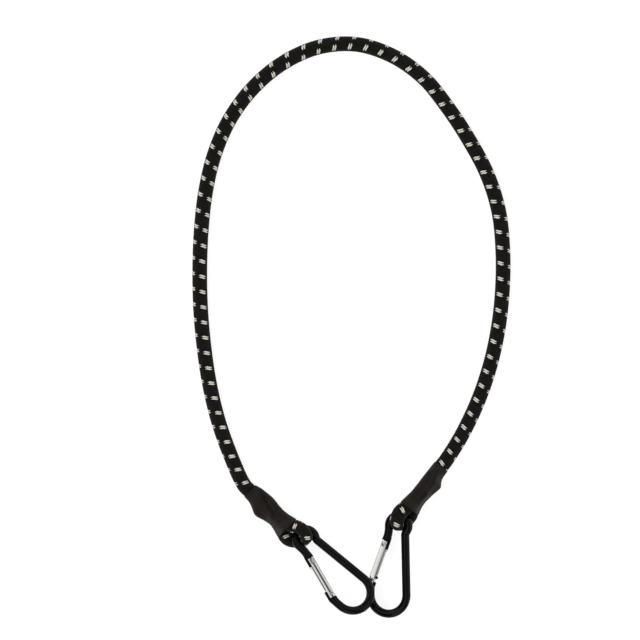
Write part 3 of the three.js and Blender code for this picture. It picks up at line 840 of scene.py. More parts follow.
@dataclass(frozen=True)
class ShrinkTube(Finish):
    """Dark heat-shrink tube with soft creases, a faint bloom, a little dust and painted shade darkening its
    pressed grooves.
    """

    name: str = "Heat-shrink tube"
    colour: Point = (0.0140, 0.0113, 0.0100)
    bloom: Point = (0.0195, 0.0159, 0.0142)
    dust: Point = (0.10, 0.095, 0.085)
    # The colour of painted shade, laid into the pressed grooves.
    crease: Point = (0.0040, 0.0034, 0.0030)
    bloom_edge: Flat = (0.35, 0.75)
    bloom_share: float = 0.7
    dust_share: float = 0.35
    painted_shade_depths: Flat = (0.15, 1.2)
    painted_shade_share: float = 0.6
    patch: float = 7 * MM
    skin: float = 0.35 * MM
    line: float = 0.5 * MM
    stretch: float = 12.0
    rough_edge: Flat = (0.3, 0.75)
    roughness: Flat = (0.55, 0.68)
    specular: float = 0.11
    depth: float = 0.02 * MM

    def wire(self, graph: Graph, shader: Node) -> None:
        """Feeds the Principled node from the skin, the lines and the pressed creases, which it darkens with
        painted shade.

        Args:
            graph: The material's graph.
            shader: Its Principled node.
        """
        place = graph.piece_place()
        skin = graph.group(mottle_effect(), Place=place, Patch=self.patch, Skin=self.skin)
        lines = graph.group(drawn_lines_effect(), Place=place, Line=self.line, Stretch=self.stretch)
        bloom = graph.times(graph.ramp(skin["Patches"], *self.bloom_edge), self.bloom_share)
        base = graph.mix(bloom, self.colour, self.bloom)
        base = graph.mix(graph.times(skin["Specks"], self.dust_share), base, self.dust)
        # Painted shade: the deeper a groove is pressed in, the more of the dark crease colour its surface
        # takes.
        pressed = graph.add("ShaderNodeAttribute", attribute_name=PRESSED).outputs["Fac"]
        dark = graph.ramp(pressed, *self.painted_shade_depths, end=self.painted_shade_share)
        ripple = graph.bump(lines["Lines"], self.depth)
        graph.fill(
            shader,
            Base_Color=graph.mix(dark, base, self.crease),
            Roughness=graph.ramp(lines["Scuffs"], *self.rough_edge, *self.roughness),
            Specular_IOR_Level=self.specular,
            Normal=graph.bump(skin["Skin"], self.depth, Normal=ripple),
        )


@dataclass(frozen=True)
class PaleFloor(Finish):
    """A white floor that keeps the soft shadow of what lies on it."""

    name: str = "Pale floor"
    tone: float = 0.80
    seen_tone: float = 0.30
    glow: float = 0.84

    def wire(self, graph: Graph, shader: Node) -> None:
        """Feeds the Principled node, with a glow that only seen rays meet.

        Args:
            graph: The material's graph.
            shader: Its Principled node.
        """
        path = graph.add("ShaderNodeLightPath").outputs
        seen = graph.math("MAXIMUM", path["Is Camera Ray"], path["Is Glossy Ray"])
        seen = graph.math("MAXIMUM", seen, path["Is Transmission Ray"])
        graph.fill(
            shader,
            Base_Color=graph.mix(seen, (self.tone,) * 3, (self.seen_tone,) * 3),
            Roughness=1.0,
            Specular_IOR_Level=0.0,
            Emission_Color=(1.0, 1.0, 1.0),
            Emission_Strength=graph.times(seen, self.glow),
        )


class Look(Enum):
    """Every finish of the cord and its hooks."""

    YARN = BraidedYarn()
    RUBBER = PlainFinish(
        "Raw rubber", (0.42, 0.36, 0.27), (0.30, 0.25, 0.18), 0.0, (0.7, 0.85), skin_depth=0.03 * MM
    )
    TUBE = ShrinkTube()
    ANODISED = PlainFinish(
        "Black anodised rod", (0.0022, 0.0021, 0.0021), (0.005, 0.0045, 0.004), 0.0, (0.04, 0.10),
        line_depth=0.001 * MM, wear=0.5, patch=9 * MM, specular=0.0, coat=0.34,
    )
    POLISHED = PlainFinish(
        "Polished gate", (0.86, 0.86, 0.85), (0.76, 0.75, 0.73), 1.0, (0.05, 0.09),
        line_depth=0.003 * MM, wear=0.3,
    )
    STEEL = PlainFinish(
        "Pin steel", (0.62, 0.61, 0.60), (0.42, 0.41, 0.39), 1.0, (0.22, 0.38), line_depth=0.006 * MM
    )
    ZINC = PlainFinish(
        "Dull zinc", (0.55, 0.55, 0.54), (0.38, 0.38, 0.37), 1.0, (0.35, 0.5), skin_depth=0.01 * MM
    )
    SPRING = PlainFinish(
        "Spring wire", (0.50, 0.50, 0.49), (0.30, 0.30, 0.29), 1.0, (0.2, 0.35), line_depth=0.004 * MM
    )

    def dress(self, piece: bpy.types.Object) -> None:
        """Gives a piece this finish alone."""
        piece.data.materials.clear()
        piece.data.materials.append(self.value.build())


@dataclass(frozen=True)
class Fitting:
    """How a piece joins the frame: its body, its slot, the node that it stands for and its look. The slot is
    not used.
    """

    body: str
    slot: str
    node: str
    look: Look

    def join(self, name: str, mesh: Mesh) -> bpy.types.Object:
        """Makes a piece of a finished mesh, dresses it and ties it to the frame.

        Args:
            name: The piece's name.
            mesh: Its mesh.

        Returns:
            The piece.
        """
        piece = new_piece(name, mesh)
        if PIECE_SPACE not in mesh.attributes:
            keep_piece_space(mesh)
        self.look.dress(piece)
        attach(piece, self.body)
        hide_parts(self.node)
        LOG.info("%s: %d faces, on %s", name, len(mesh.polygons), self.body)
        return piece


# The studio


@dataclass(frozen=True)
class Softbox:
    """One square lamp of the studio, aimed at a point. It lights the cord but isn't mirrored in it."""

    name: str
    place: Point
    size: float
    watts: float

    def build(self, target: Vector) -> None:
        """Hangs the lamp.

        Args:
            target: Where it is turned to.
        """
        lamp = bpy.data.lights.new(self.name, "AREA")
        lamp.shape = "RECTANGLE"
        lamp.size = lamp.size_y = self.size
        lamp.energy = self.watts
        holder = bpy.data.objects.new(self.name, lamp)
        bpy.context.scene.collection.objects.link(holder)
        holder.location = self.place
        holder.rotation_euler = (target - Vector(self.place)).to_track_quat("-Z", "Y").to_euler()
        holder.visible_camera = False
        holder.visible_glossy = False


@dataclass(frozen=True)
class Studio:
    """The camera, the pale floor and the light.

    The tent's panels are pairs of a place and a brightness. A place runs from nought on one side of the
    tent, over the top, to one on the other side.
    """

    photo_span: float = 0.4288
    view_middle: Flat = (-0.0174, 0.1474)
    camera_height: float = 8.0
    sensor: float = 36.0
    view_limit: float = 50.0
    floor_half: float = 6.0
    floor_below: float = 0.05 * MM
    tent_turn_degrees: float = 25.0
    tent_colour: Point = (1.0, 0.995, 0.985)
    horizon: float = 0.08
    panels: tuple[Flat, ...] = (
        (0.0, 0.85), (0.03, 0.65), (0.06, 0.05), (0.19, 0.05), (0.21, 0.95), (0.33, 0.90),
        (0.50, 0.60), (0.53, 0.09), (0.66, 0.09), (0.72, 0.40), (0.80, 0.85), (0.90, 0.60), (0.98, 0.95),
    )
    lamps: tuple[Softbox, ...] = (
        Softbox("key_softbox", (-1.5, 0.5, 1.7), 1.4, 23.0),
        Softbox("fill_softbox", (1.4, -0.3, 1.6), 1.2, 9.0),
    )

    def build(self) -> None:
        """Makes the camera, floor, tent and lamps."""
        self.build_camera()
        self.build_floor()
        self.build_tent()
        for lamp in self.lamps:
            lamp.build(Vector((*self.view_middle, 0.0)))

    def build_camera(self) -> None:
        """Sets the camera straight above, with the photograph's frame."""
        data = bpy.data.cameras.new("photo_camera")
        data.sensor_width = self.sensor
        data.lens = self.sensor * self.camera_height / self.photo_span
        data.clip_end = self.view_limit
        camera = bpy.data.objects.new("photo_camera", data)
        camera.location = (*self.view_middle, self.camera_height)
        bpy.context.scene.collection.objects.link(camera)
        bpy.context.scene.camera = camera
        bpy.context.scene.view_settings.view_transform = "Standard"

    def build_floor(self) -> None:
        """Lays the floor just under the cord."""
        half = self.floor_half
        mesh = bpy.data.meshes.new("floor")
        corners = [(-half, -half, 0), (half, -half, 0), (half, half, 0), (-half, half, 0)]
        mesh.from_pydata(corners, [], [(0, 1, 2, 3)])
        floor = new_piece("floor", mesh)
        floor.location.z = -self.floor_below
        mesh.materials.append(PaleFloor().build())

    def build_tent(self) -> None:
        """Hangs a light tent of bright panels with dim gaps, white to the camera."""
        world = bpy.data.worlds.new("light_tent")
        bpy.context.scene.world = world
        world.use_nodes = True
        world.node_tree.nodes.clear()
        graph = Graph(world.node_tree)
        background = graph.add("ShaderNodeBackground")
        graph.fill(graph.add("ShaderNodeOutputWorld"), Surface=background.outputs[0])
        direction = graph.add("ShaderNodeTexCoord").outputs["Generated"]
        turn = math.radians(self.tent_turn_degrees)
        across = graph.add("ShaderNodeVectorMath", operation="DOT_PRODUCT")
        graph.feed(across.inputs[0], direction)
        graph.feed(across.inputs[1], (math.cos(turn), math.sin(turn), 0.0))
        place = graph.math("MULTIPLY_ADD", across.outputs["Value"], 0.5, 0.5)
        parts = graph.add("ShaderNodeSeparateXYZ")
        graph.feed(parts.inputs[0], direction)
        horizon = graph.ramp(parts.outputs[2], 0.0, self.horizon, start=1.0, end=0.0)
        brightness = graph.math("MAXIMUM", graph.stops(place, self.panels), horizon)
        path = graph.add("ShaderNodeLightPath").outputs
        seen = graph.math("MAXIMUM", path["Is Camera Ray"], path["Is Transmission Ray"])
        graph.fill(background, Color=self.tent_colour, Strength=graph.choose(seen, 1.0, brightness))


# The free cord


@dataclass(frozen=True)
class FreeCord:
    """The stretch cord between the two sleeves: a braided sheath over a rubber core."""

    diameter: float = 10 * MM
    wall: float = 1 * MM
    air: float = 0.3 * MM
    flat_share: float = 0.1
    length: float = 0.6987
    sheath_sides: int = 40
    core_sides: int = 24
    steps: int = 15
    end_pitch: float = 10 * MM
    route: tuple[Flat, ...] = (
        (-0.0636, 0.0322), (-0.0682, 0.0369), (-0.0764, 0.0546), (-0.0854, 0.0796), (-0.0914, 0.1048),
        (-0.0952, 0.1304), (-0.0974, 0.1561), (-0.0979, 0.1819), (-0.0969, 0.2078), (-0.0940, 0.2334),
        (-0.0880, 0.2586), (-0.0776, 0.2822), (-0.0622, 0.3029), (-0.0424, 0.3194), (-0.0189, 0.3300),
        (0.0067, 0.3320), (0.0312, 0.3242), (0.0522, 0.3093), (0.0685, 0.2892), (0.0826, 0.2676),
        (0.0946, 0.2448), (0.1023, 0.2201), (0.1050, 0.1945), (0.1048, 0.1686), (0.1021, 0.1429),
        (0.0967, 0.1177), (0.0884, 0.0932), (0.0773, 0.0699), (0.0669, 0.0533), (0.0632, 0.0486),
    )
    # Tracer marks along the cord: the mark's number, its place along the cord in millimetres, and how
    # many degrees it has rolled from the top towards the inside of the bend
    marks: tuple[Point, ...] = (
        (0, 7.5, 22), (1, 17.8, 14), (2, 27.5, 8), (4, 47.9, 22), (8, 88.9, 16),
        (12, 130.0, 26), (15, 160.8, 22), (18, 192.1, 46), (25, 267.7, 48), (28, 301.5, 38),
        (30, 325.5, 48), (32, 348.2, 33), (34, 369.8, 16), (36, 391.1, 18), (38, 414.2, 30),
        (43, 468.7, 20), (48, 521.3, 26), (53, 574.0, 22), (57, 616.6, 21), (62, 667.3, 18),
        (65, 695.6, 15),
    )

    def build(self) -> None:
        radius = self.diameter / 2
        stops = np.array([(x, y, radius - self.diameter * self.flat_share) for x, y in self.route])
        points, _ = smooth_run(stops, self.steps)
        outer = self.settled(points, radius, self.sheath_sides, 0.0)
        inner = self.settled(points, radius - self.wall, self.sheath_sides, self.wall)
        mesh = tube_mesh("braided_sheath", outer, inner, *self.yarn_map(arc_lengths(points)))
        sheath = Fitting("cord", "braided_sheath", "main_sheath", Look.YARN).join("braided_sheath", mesh)
        inset = self.wall + self.air
        mesh = tube_mesh("rubber_strand_bundle", self.settled(points, radius - inset, self.core_sides, inset))
        core = Fitting("cord", "rubber_core", "main_core", Look.RUBBER).join("rubber_strand_bundle", mesh)
        tuple(points[0])
        [tuple(point) for point in points]

    def yarn_map(self, lengths: np.ndarray) -> tuple[np.ndarray, np.ndarray]:
        """The yarn map along the cord, from the tracer marks.

        Args:
            lengths: The places along the cord.

        Returns:
            The yarn map's value along the tube, and the turn that it starts from.
        """
        numbers, places, rolls = np.array(self.marks).T
        places = places * MM
        along = np.interp(lengths, places, numbers)
        along = along + np.minimum(lengths - places[0], 0) / self.end_pitch
        along = along + np.maximum(lengths - places[-1], 0) / self.end_pitch
        return yarn_phase(along, np.interp(lengths, places, rolls))

    @staticmethod
    def settled(points: np.ndarray, radius: float, sides: int, floor: float) -> np.ndarray:
        """Rings round the cord's line, pressed flat where they reach below a height.

        Args:
            points: The line.
            radius: The rings' radius.
            sides: How many points a ring has.
            floor: The height.

        Returns:
            The rings.
        """
        full = np.full(len(points), radius)
        rings = rings_round(points, full, full, sides)
        rings[:, :, 2] = np.maximum(rings[:, :, 2], floor)
        return rings


def yarn_phase(along: np.ndarray, roll_degrees: np.ndarray) -> tuple[np.ndarray, np.ndarray]:
    """The braid's own coordinates of marks that were counted from the pair's middle on top."""
    pair_along, pair_around = 2.5 / 16, -0.5 / 16
    return along + pair_along, pair_around - roll_degrees / 360


# The hook ends


def packed_rings(node: str, sides: int, near: Flat) -> list[np.ndarray]:
    """The rings that a packed rod is lofted over, in order from one end.

    Only the middle of a rod's cap has as many neighbours as the rod has sides, so the rings are found by
    walking from there, one edge at a time.

    Args:
        node: The rod's node.
        sides: How many points a ring has.
        near: A point, seen from above, by the end to start from.

    Returns:
        The rings' points.
    """
    grid = 1e6
    mesh = frame["nodes"][node].data
    keys = [tuple(round(value * grid) for value in vertex.co) for vertex in mesh.vertices]
    neighbours: dict[tuple[int, ...], set[tuple[int, ...]]] = {key: set() for key in keys}
    for face in mesh.polygons:
        corners = [keys[index] for index in face.vertices]
        for one in corners:
            neighbours[one].update(other for other in corners if other != one)
    caps = [key for key, others in neighbours.items() if len(others) == sides]
    start = min(caps, key=lambda key: math.dist((key[0] / grid, key[1] / grid), near))
    seen, layer, rings = {start}, {start}, []
    while layer:
        layer = set().union(*(neighbours[key] for key in layer)) - seen
        seen |= layer
        if len(layer) == sides:
            rings.append(np.array(sorted(layer)) / grid)
    return rings


@dataclass(frozen=True)
class SideFit:
    """How the points of a hook end move sideways, so that it has the outline in the photograph.

    It also knows the sleeve's bore: its radii about the middle of each ring, before the move.
    """

    sleeve: "ShrinkSleeve"
    places: np.ndarray
    shifts: np.ndarray
    scales: np.ndarray
    middles: np.ndarray
    bores: np.ndarray
    fade: float = 16 * MM
    air: float = 0.1 * MM

    def at(self, along: np.ndarray) -> tuple[np.ndarray, np.ndarray]:
        """The sideways shift and scale at places along the sleeve. They ease off past its mouth.

        Args:
            along: The places.

        Returns:
            The shifts and the scales.
        """
        kept = 1 - smooth_share(along, self.places[-1], self.places[-1] + self.fade)
        shifts = np.interp(along, self.places, self.shifts)
        scales = np.interp(along, self.places, self.scales)
        return shifts * kept, 1 + (scales - 1) * kept

    def hold(self, rings: np.ndarray, inset: float) -> np.ndarray:
        """Presses rings of the fold into the sleeve's bore, where they would come through it.

        Args:
            rings: The rings, ring by point by coordinate.
            inset: How much further in these rings lie than the fold's outside.

        Returns:
            The pressed rings.
        """
        flat = rings.reshape(-1, 3).copy()
        along, lateral = self.sleeve.find(flat)
        turns = self.bores.shape[1]
        for index in np.nonzero((along > self.places[0]) & (along < self.places[-1]))[0]:
            row = int(np.searchsorted(self.places, along[index]))
            aside, height = self.middles[row]
            out = (lateral[index] - self.shifts[row]) / self.scales[row] - aside
            rise = flat[index, 2] - height
            column = round(math.atan2(out, rise) / FULL_TURN * turns) % turns
            limit = self.bores[row, column] - self.air - inset
            reach = math.hypot(out, rise)
            if reach > limit:
                out, rise = out * limit / reach, rise * limit / reach
                moved = self.shifts[row] + self.scales[row] * (aside + out)
                flat[index] = self.sleeve.place(along[index], moved, height + rise)
        return flat.reshape(rings.shape)


@dataclass(frozen=True)
class FoldedEnd:
    """The end of the cord, folded back round the carabiner's eye inside its sleeve.

    Its marks are the light tracer yarns: the distance of one from the cord's end, their pitch, and how far
    they have rolled from the strand's top. Its spread is how far the upper and the lower strand lie to the
    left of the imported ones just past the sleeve's mouth.
    """

    mark_from: float
    mark_pitch: float
    roll_degrees: float
    spread: Flat
    spread_places: tuple[float, float, float, float] = (24 * MM, 35 * MM, 41 * MM, 50 * MM)
    strand_heights: Flat = (8 * MM, 14 * MM)
    wall: float = 0.8 * MM
    air: float = 0.3 * MM
    packed_sides: int = 8
    sides: int = 36
    steps: int = 4

    def packed_line(self, node: str, near: Flat) -> tuple[np.ndarray, np.ndarray, np.ndarray]:
        """A packed core's centre line, and its half height and half width at each point.

        Args:
            node: The core's node.
            near: A point, seen from above, by the end to start from.

        Returns:
            The points, the half heights and the half widths.
        """
        rings = packed_rings(node, self.packed_sides, near)
        centres = np.array([ring.mean(axis=0) for ring in rings])
        spans = [
            [np.sqrt(2 * np.mean(((ring - centre) @ way) ** 2)) for way in ways]
            for ring, centre, *ways in zip(rings, centres, *carried_frames(centres))
        ]
        return centres, *np.array(spans).T

    def line(self, fit: SideFit) -> tuple[np.ndarray, np.ndarray, np.ndarray]:
        """The core's centre line as it lies in its sleeve, and its half heights and half widths.

        Args:
            fit: How the sleeve was moved sideways, which its strands follow.

        Returns:
            The points, the half heights and the half widths.
        """
        sleeve = fit.sleeve
        centres, heights, widths = self.packed_line(sleeve.side.name_of("eye_core"), sleeve.cord_end)
        along, aside = sleeve.find(centres)
        shifts, scales = fit.at(along)
        upper, lower = self.spread
        share = smooth_share(centres[:, 2], *self.strand_heights)
        near, full, leave, far = self.spread_places
        bulge = smooth_share(along, near, full) * (1 - smooth_share(along, leave, far))
        lateral = shifts + scales * aside + bulge * (lower + (upper - lower) * share)
        moved = [sleeve.place(*row) for row in zip(along, lateral, centres[:, 2])]
        points, places = smooth_run(np.array(moved), self.steps)
        sizes = (heights, widths * np.minimum(scales, 1))
        return points, *(np.interp(places, np.arange(len(centres)), size) for size in sizes)

    def build(self, fit: SideFit) -> None:
        """Makes the folded sheath and its core.

        Args:
            fit: How the sleeve was moved sideways, which its strands follow.
        """
        points, heights, widths = self.line(fit)
        full = self.wall + self.air
        outer, inner, rod = (
            fit.hold(rings_round(points, heights + more, widths + more, self.sides), full - more)
            for more in (full, self.air, 0.0)
        )
        marks = (arc_lengths(points) - self.mark_from) / self.mark_pitch
        yarns = yarn_phase(marks, np.full(len(points), self.roll_degrees))
        rows = (
            ("eye_braid", "braided_sheath", "eye_sheath", Look.YARN, (outer, inner, *yarns)),
            ("eye_rubber", "rubber_core", "eye_core", Look.RUBBER, (rod,)),
        )
        for name, slot, node, look, shape in rows:
            fitting = Fitting("cord", slot, fit.sleeve.side.name_of(node), look)
            fitting.join(fit.sleeve.side.name_of(name), tube_mesh(name, *shape))


@dataclass(frozen=True)
class Crease:
    """A groove or ridge pressed into a sleeve, between two places on it.

    Places are millimetres along the sleeve and degrees round it, from the top towards its left side.
    Its depth and width are millimetres too.
    """

    start: Flat
    end: Flat
    depth: float
    width: float
    mean_radius: float = 7.0
    end_share: float = 0.07
    fade_power: float = 0.7

    def press(self, along: np.ndarray, degrees: np.ndarray) -> np.ndarray:
        """How far the crease moves the surface outwards.

        Args:
            along: Millimetres along the sleeve.
            degrees: Degrees round it.

        Returns:
            The move in millimetres.
        """
        (start_along, start_turn), (end_along, end_turn) = self.start, self.end
        run = np.array([end_along - start_along, math.radians(end_turn - start_turn) * self.mean_radius])
        turn = (degrees - start_turn + 180) % 360 - 180
        offset = np.stack([along - start_along, np.radians(turn) * self.mean_radius], axis=-1)
        share = np.clip(offset @ run / run.dot(run), 0, 1)
        away = np.linalg.norm(offset - share[..., None] * run, axis=-1)
        fade = np.sin(math.pi * (share * (1 - 2 * self.end_share) + self.end_share)) ** self.fade_power
        return self.depth * fade * np.exp(-((away / self.width) ** 2))


@dataclass(frozen=True)
class ShrinkSleeve:
    """The heat-shrink sleeve, drawn down over the folded cord.

    Its outline from above is rows of a place along it and its reach to the left and the right there, in
    millimetres. Its ripples are rows of a height, a rate along it and a rate round it.
    """

    side: Side
    cord_end: Flat
    heading_degrees: float
    outline: tuple[Point, ...]
    creases: tuple[Crease, ...]
    seed: float
    length: float = 34 * MM
    wall: float = 0.7 * MM
    packed_gap: float = 0.3 * MM
    overlap: float = 1.3 * MM
    inside: float = 0.12 * MM
    cord_radius: float = 5 * MM
    cord_room: float = 0.12 * MM
    thin_wall: float = 0.35 * MM
    blend_reach: float = 4 * MM
    floor_air: float = 0.1 * MM
    first_height: float = 8 * MM
    ray_side_mm: float = 30
    ray_top_mm: float = 40
    turns: int = 112
    steps: int = 120
    outline_rounds: int = 14
    round_rounds: int = 8
    along_rounds: int = 10
    ripples: tuple[Point, ...] = ((0.30, 0.16, 1.3), (0.10, 0.55, 2.2))
    lip_kept: float = 0.55
    lip_second_kept: float = 0.93

    def place(self, along: float, aside: float, height: float) -> Vector:
        """A point of the sleeve's own frame in the shared frame.

        Args:
            along: Its place along the sleeve.
            aside: Its place to the sleeve's left.
            height: Its height.

        Returns:
            The point.
        """
        angle = math.radians(self.heading_degrees)
        along += self.packed_gap
        x = self.cord_end[0] + along * math.cos(angle) - aside * math.sin(angle)
        y = self.cord_end[1] + along * math.sin(angle) + aside * math.cos(angle)
        return Vector((x, y, height))

    def find(self, points: np.ndarray) -> tuple[np.ndarray, np.ndarray]:
        """Where points of the shared frame lie.

        Args:
            points: The points.

        Returns:
            Their places along the sleeve and to its left.
        """
        angle = math.radians(self.heading_degrees)
        east, north = (points[:, :2] - np.array(self.cord_end)).T
        along = east * math.cos(angle) + north * math.sin(angle) - self.packed_gap
        return along, north * math.cos(angle) - east * math.sin(angle)

    def fit(self, places: np.ndarray, middles: np.ndarray, radii: np.ndarray, walls: np.ndarray) -> SideFit:
        """The sideways move that gives the sleeve its outline.

        Args:
            places: The rings' places along the sleeve.
            middles: The rings' middles, to the side and up.
            radii: The rings' outer radii.
            walls: The rings' walls.

        Returns:
            The move.
        """
        laterals = middles[:, :1] + radii * np.sin(turn_angles(self.turns))
        stops, *reaches = (np.array(self.outline) * MM).T
        left, right = (smoothed(np.interp(places, stops, reach), self.outline_rounds) for reach in reaches)
        now_left, now_right = laterals.max(axis=1), -laterals.min(axis=1)
        scales = (left + right) / (now_left + now_right)
        shifts = (left - right) / 2 - scales * (now_left - now_right) / 2
        return SideFit(self, places, shifts, scales, middles, radii - walls)

    def measure(self, solid: BVHTree, along: float) -> Flat:
        """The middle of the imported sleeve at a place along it.

        Args:
            solid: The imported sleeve.
            along: The distance from its start.

        Returns:
            The middle's distance to the side and its height.
        """
        to_left = self.place(0, 1, 0) - self.place(0, 0, 0)
        aside, height = 0.0, self.first_height
        for _ in range(3):
            ends = []
            for way in (1, -1):
                start = self.place(along, aside + way * self.ray_side_mm * MM, height)
                hit = solid.ray_cast(start, -way * to_left)[0]
                ends.append(aside if hit is None else (hit - self.place(along, 0, 0)).dot(to_left))
            aside = sum(ends) / 2
            ends = []
            for way in (1, -1):
                start = self.place(along, aside, height + way * self.ray_top_mm * MM)
                hit = solid.ray_cast(start, Vector((0, 0, -way)))[0]
                ends.append(height if hit is None else hit.z)
            height = sum(ends) / 2
        return aside, height

    def section(self, places: np.ndarray) -> tuple[np.ndarray, np.ndarray]:
        """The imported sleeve's own section, without its facets.

        Args:
            places: The rings' places along the sleeve.

        Returns:
            The rings' middles, to the side and up, and their radii.
        """
        data = frame["nodes"][self.side.name_of("heat_shrink_sleeve")].data
        corners = [vertex.co.copy() for vertex in data.vertices]
        solid = BVHTree.FromPolygons(corners, [tuple(face.vertices) for face in data.polygons])
        middles = np.array([self.measure(solid, place) for place in places])
        radii = np.zeros((self.steps, self.turns))
        for row, place in enumerate(places):
            centre = self.place(place, *middles[row])
            for column, angle in enumerate(turn_angles(self.turns)):
                outward = self.place(0, math.sin(angle), math.cos(angle)) - self.place(0, 0, 0)
                hit = solid.ray_cast(centre + outward * self.ray_side_mm * MM, -outward)[0]
                radii[row, column] = (hit - centre).length
        for _ in range(self.round_rounds):
            radii = (np.roll(radii, 1, 1) + 2 * radii + np.roll(radii, -1, 1)) / 4
        return middles, smoothed(radii, self.along_rounds)

    def build(self) -> SideFit:
        """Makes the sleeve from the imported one's section, with its creases.

        Returns:
            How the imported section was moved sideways.
        """
        places = np.linspace(-self.overlap, self.length - self.inside, self.steps)
        middles, radii = self.section(np.maximum(places, self.inside))
        over_cord = 1 - smooth_share(places, -self.overlap, self.blend_reach - self.overlap)[:, None]
        cover = self.cord_radius + self.cord_room + self.thin_wall
        radii = radii + (np.maximum(radii, cover) - radii) * over_cord
        middles[:, 1] += (self.cord_radius - middles[:, 1]) * over_cord[:, 0]
        walls = self.wall + (self.thin_wall - self.wall) * over_cord
        grid = np.broadcast_arrays(places[:, None] / MM, np.degrees(turn_angles(self.turns))[None, :])
        press = sum(crease.press(*grid) for crease in self.creases)
        radii = radii + press * MM + self.ripple(*grid)
        fit = self.fit(places, middles, radii, walls)
        name = self.side.name_of("shrink_tube")
        mesh = tube_mesh(name, *self.with_lips(self.rings(fit, radii), self.rings(fit, radii - walls)))
        keep_piece_space(mesh, self.heading_degrees)
        # How deep each groove is pressed in; the tube's finish paints shade there.
        depths = np.concatenate([-press.ravel(), np.zeros(press.size)]).astype(np.float32)
        mesh.attributes.new(PRESSED, "FLOAT", "POINT").data.foreach_set("value", depths)
        Fitting("cord", "shrink_tube", self.side.name_of("heat_shrink_sleeve"), Look.TUBE).join(name, mesh)
        return fit

    def ripple(self, along: np.ndarray, degrees: np.ndarray) -> np.ndarray:
        """Small unevenness of the drawn-down tube.

        Args:
            along: Millimetres along the sleeve.
            degrees: Degrees round it.

        Returns:
            The move outwards.
        """
        made = np.zeros(along.shape)
        for index in np.ndindex(along.shape):
            angle = math.radians(degrees[index])
            for height, rate, turn_rate in self.ripples:
                round_it = (math.cos(angle) * turn_rate, math.sin(angle) * turn_rate)
                made[index] += height * noise.noise(Vector((along[index] * rate + self.seed, *round_it)))
        return made * MM

    def rings(self, fit: SideFit, radii: np.ndarray) -> np.ndarray:
        """Rings of points in the shared frame.

        Args:
            fit: The sideways move.
            radii: The rings' radii about the sleeve's middle.

        Returns:
            The rings, ring by point by coordinate.
        """
        made = np.zeros((*radii.shape, 3))
        for row, place in enumerate(fit.places):
            aside, height = fit.middles[row]
            for column, angle in enumerate(turn_angles(self.turns)):
                radius = radii[row, column]
                lateral = fit.shifts[row] + fit.scales[row] * (aside + radius * math.sin(angle))
                made[row, column] = self.place(place, lateral, height + radius * math.cos(angle))
        made[:, :, 2] = np.maximum(made[:, :, 2], self.floor_air)
        return made

    def with_lips(self, outer: np.ndarray, inner: np.ndarray) -> tuple[np.ndarray, np.ndarray]:
        """Rounds the two cut ends by pulling their last rings together.

        Args:
            outer: The rings of the outside.
            inner: The rings of the bore.

        Returns:
            Both, with rounded ends.
        """
        outer, inner = outer.copy(), inner.copy()
        kept, second_kept = self.lip_kept, self.lip_second_kept
        for end, second in ((0, 1), (-1, -2)):
            middle = (outer[end] + inner[end]) / 2
            outer[end] = outer[end] * kept + middle * (1 - kept)
            inner[end] = inner[end] * kept + middle * (1 - kept)
            outer[second] = outer[second] * second_kept + inner[second] * (1 - second_kept)
        return outer, inner


# The carabiners


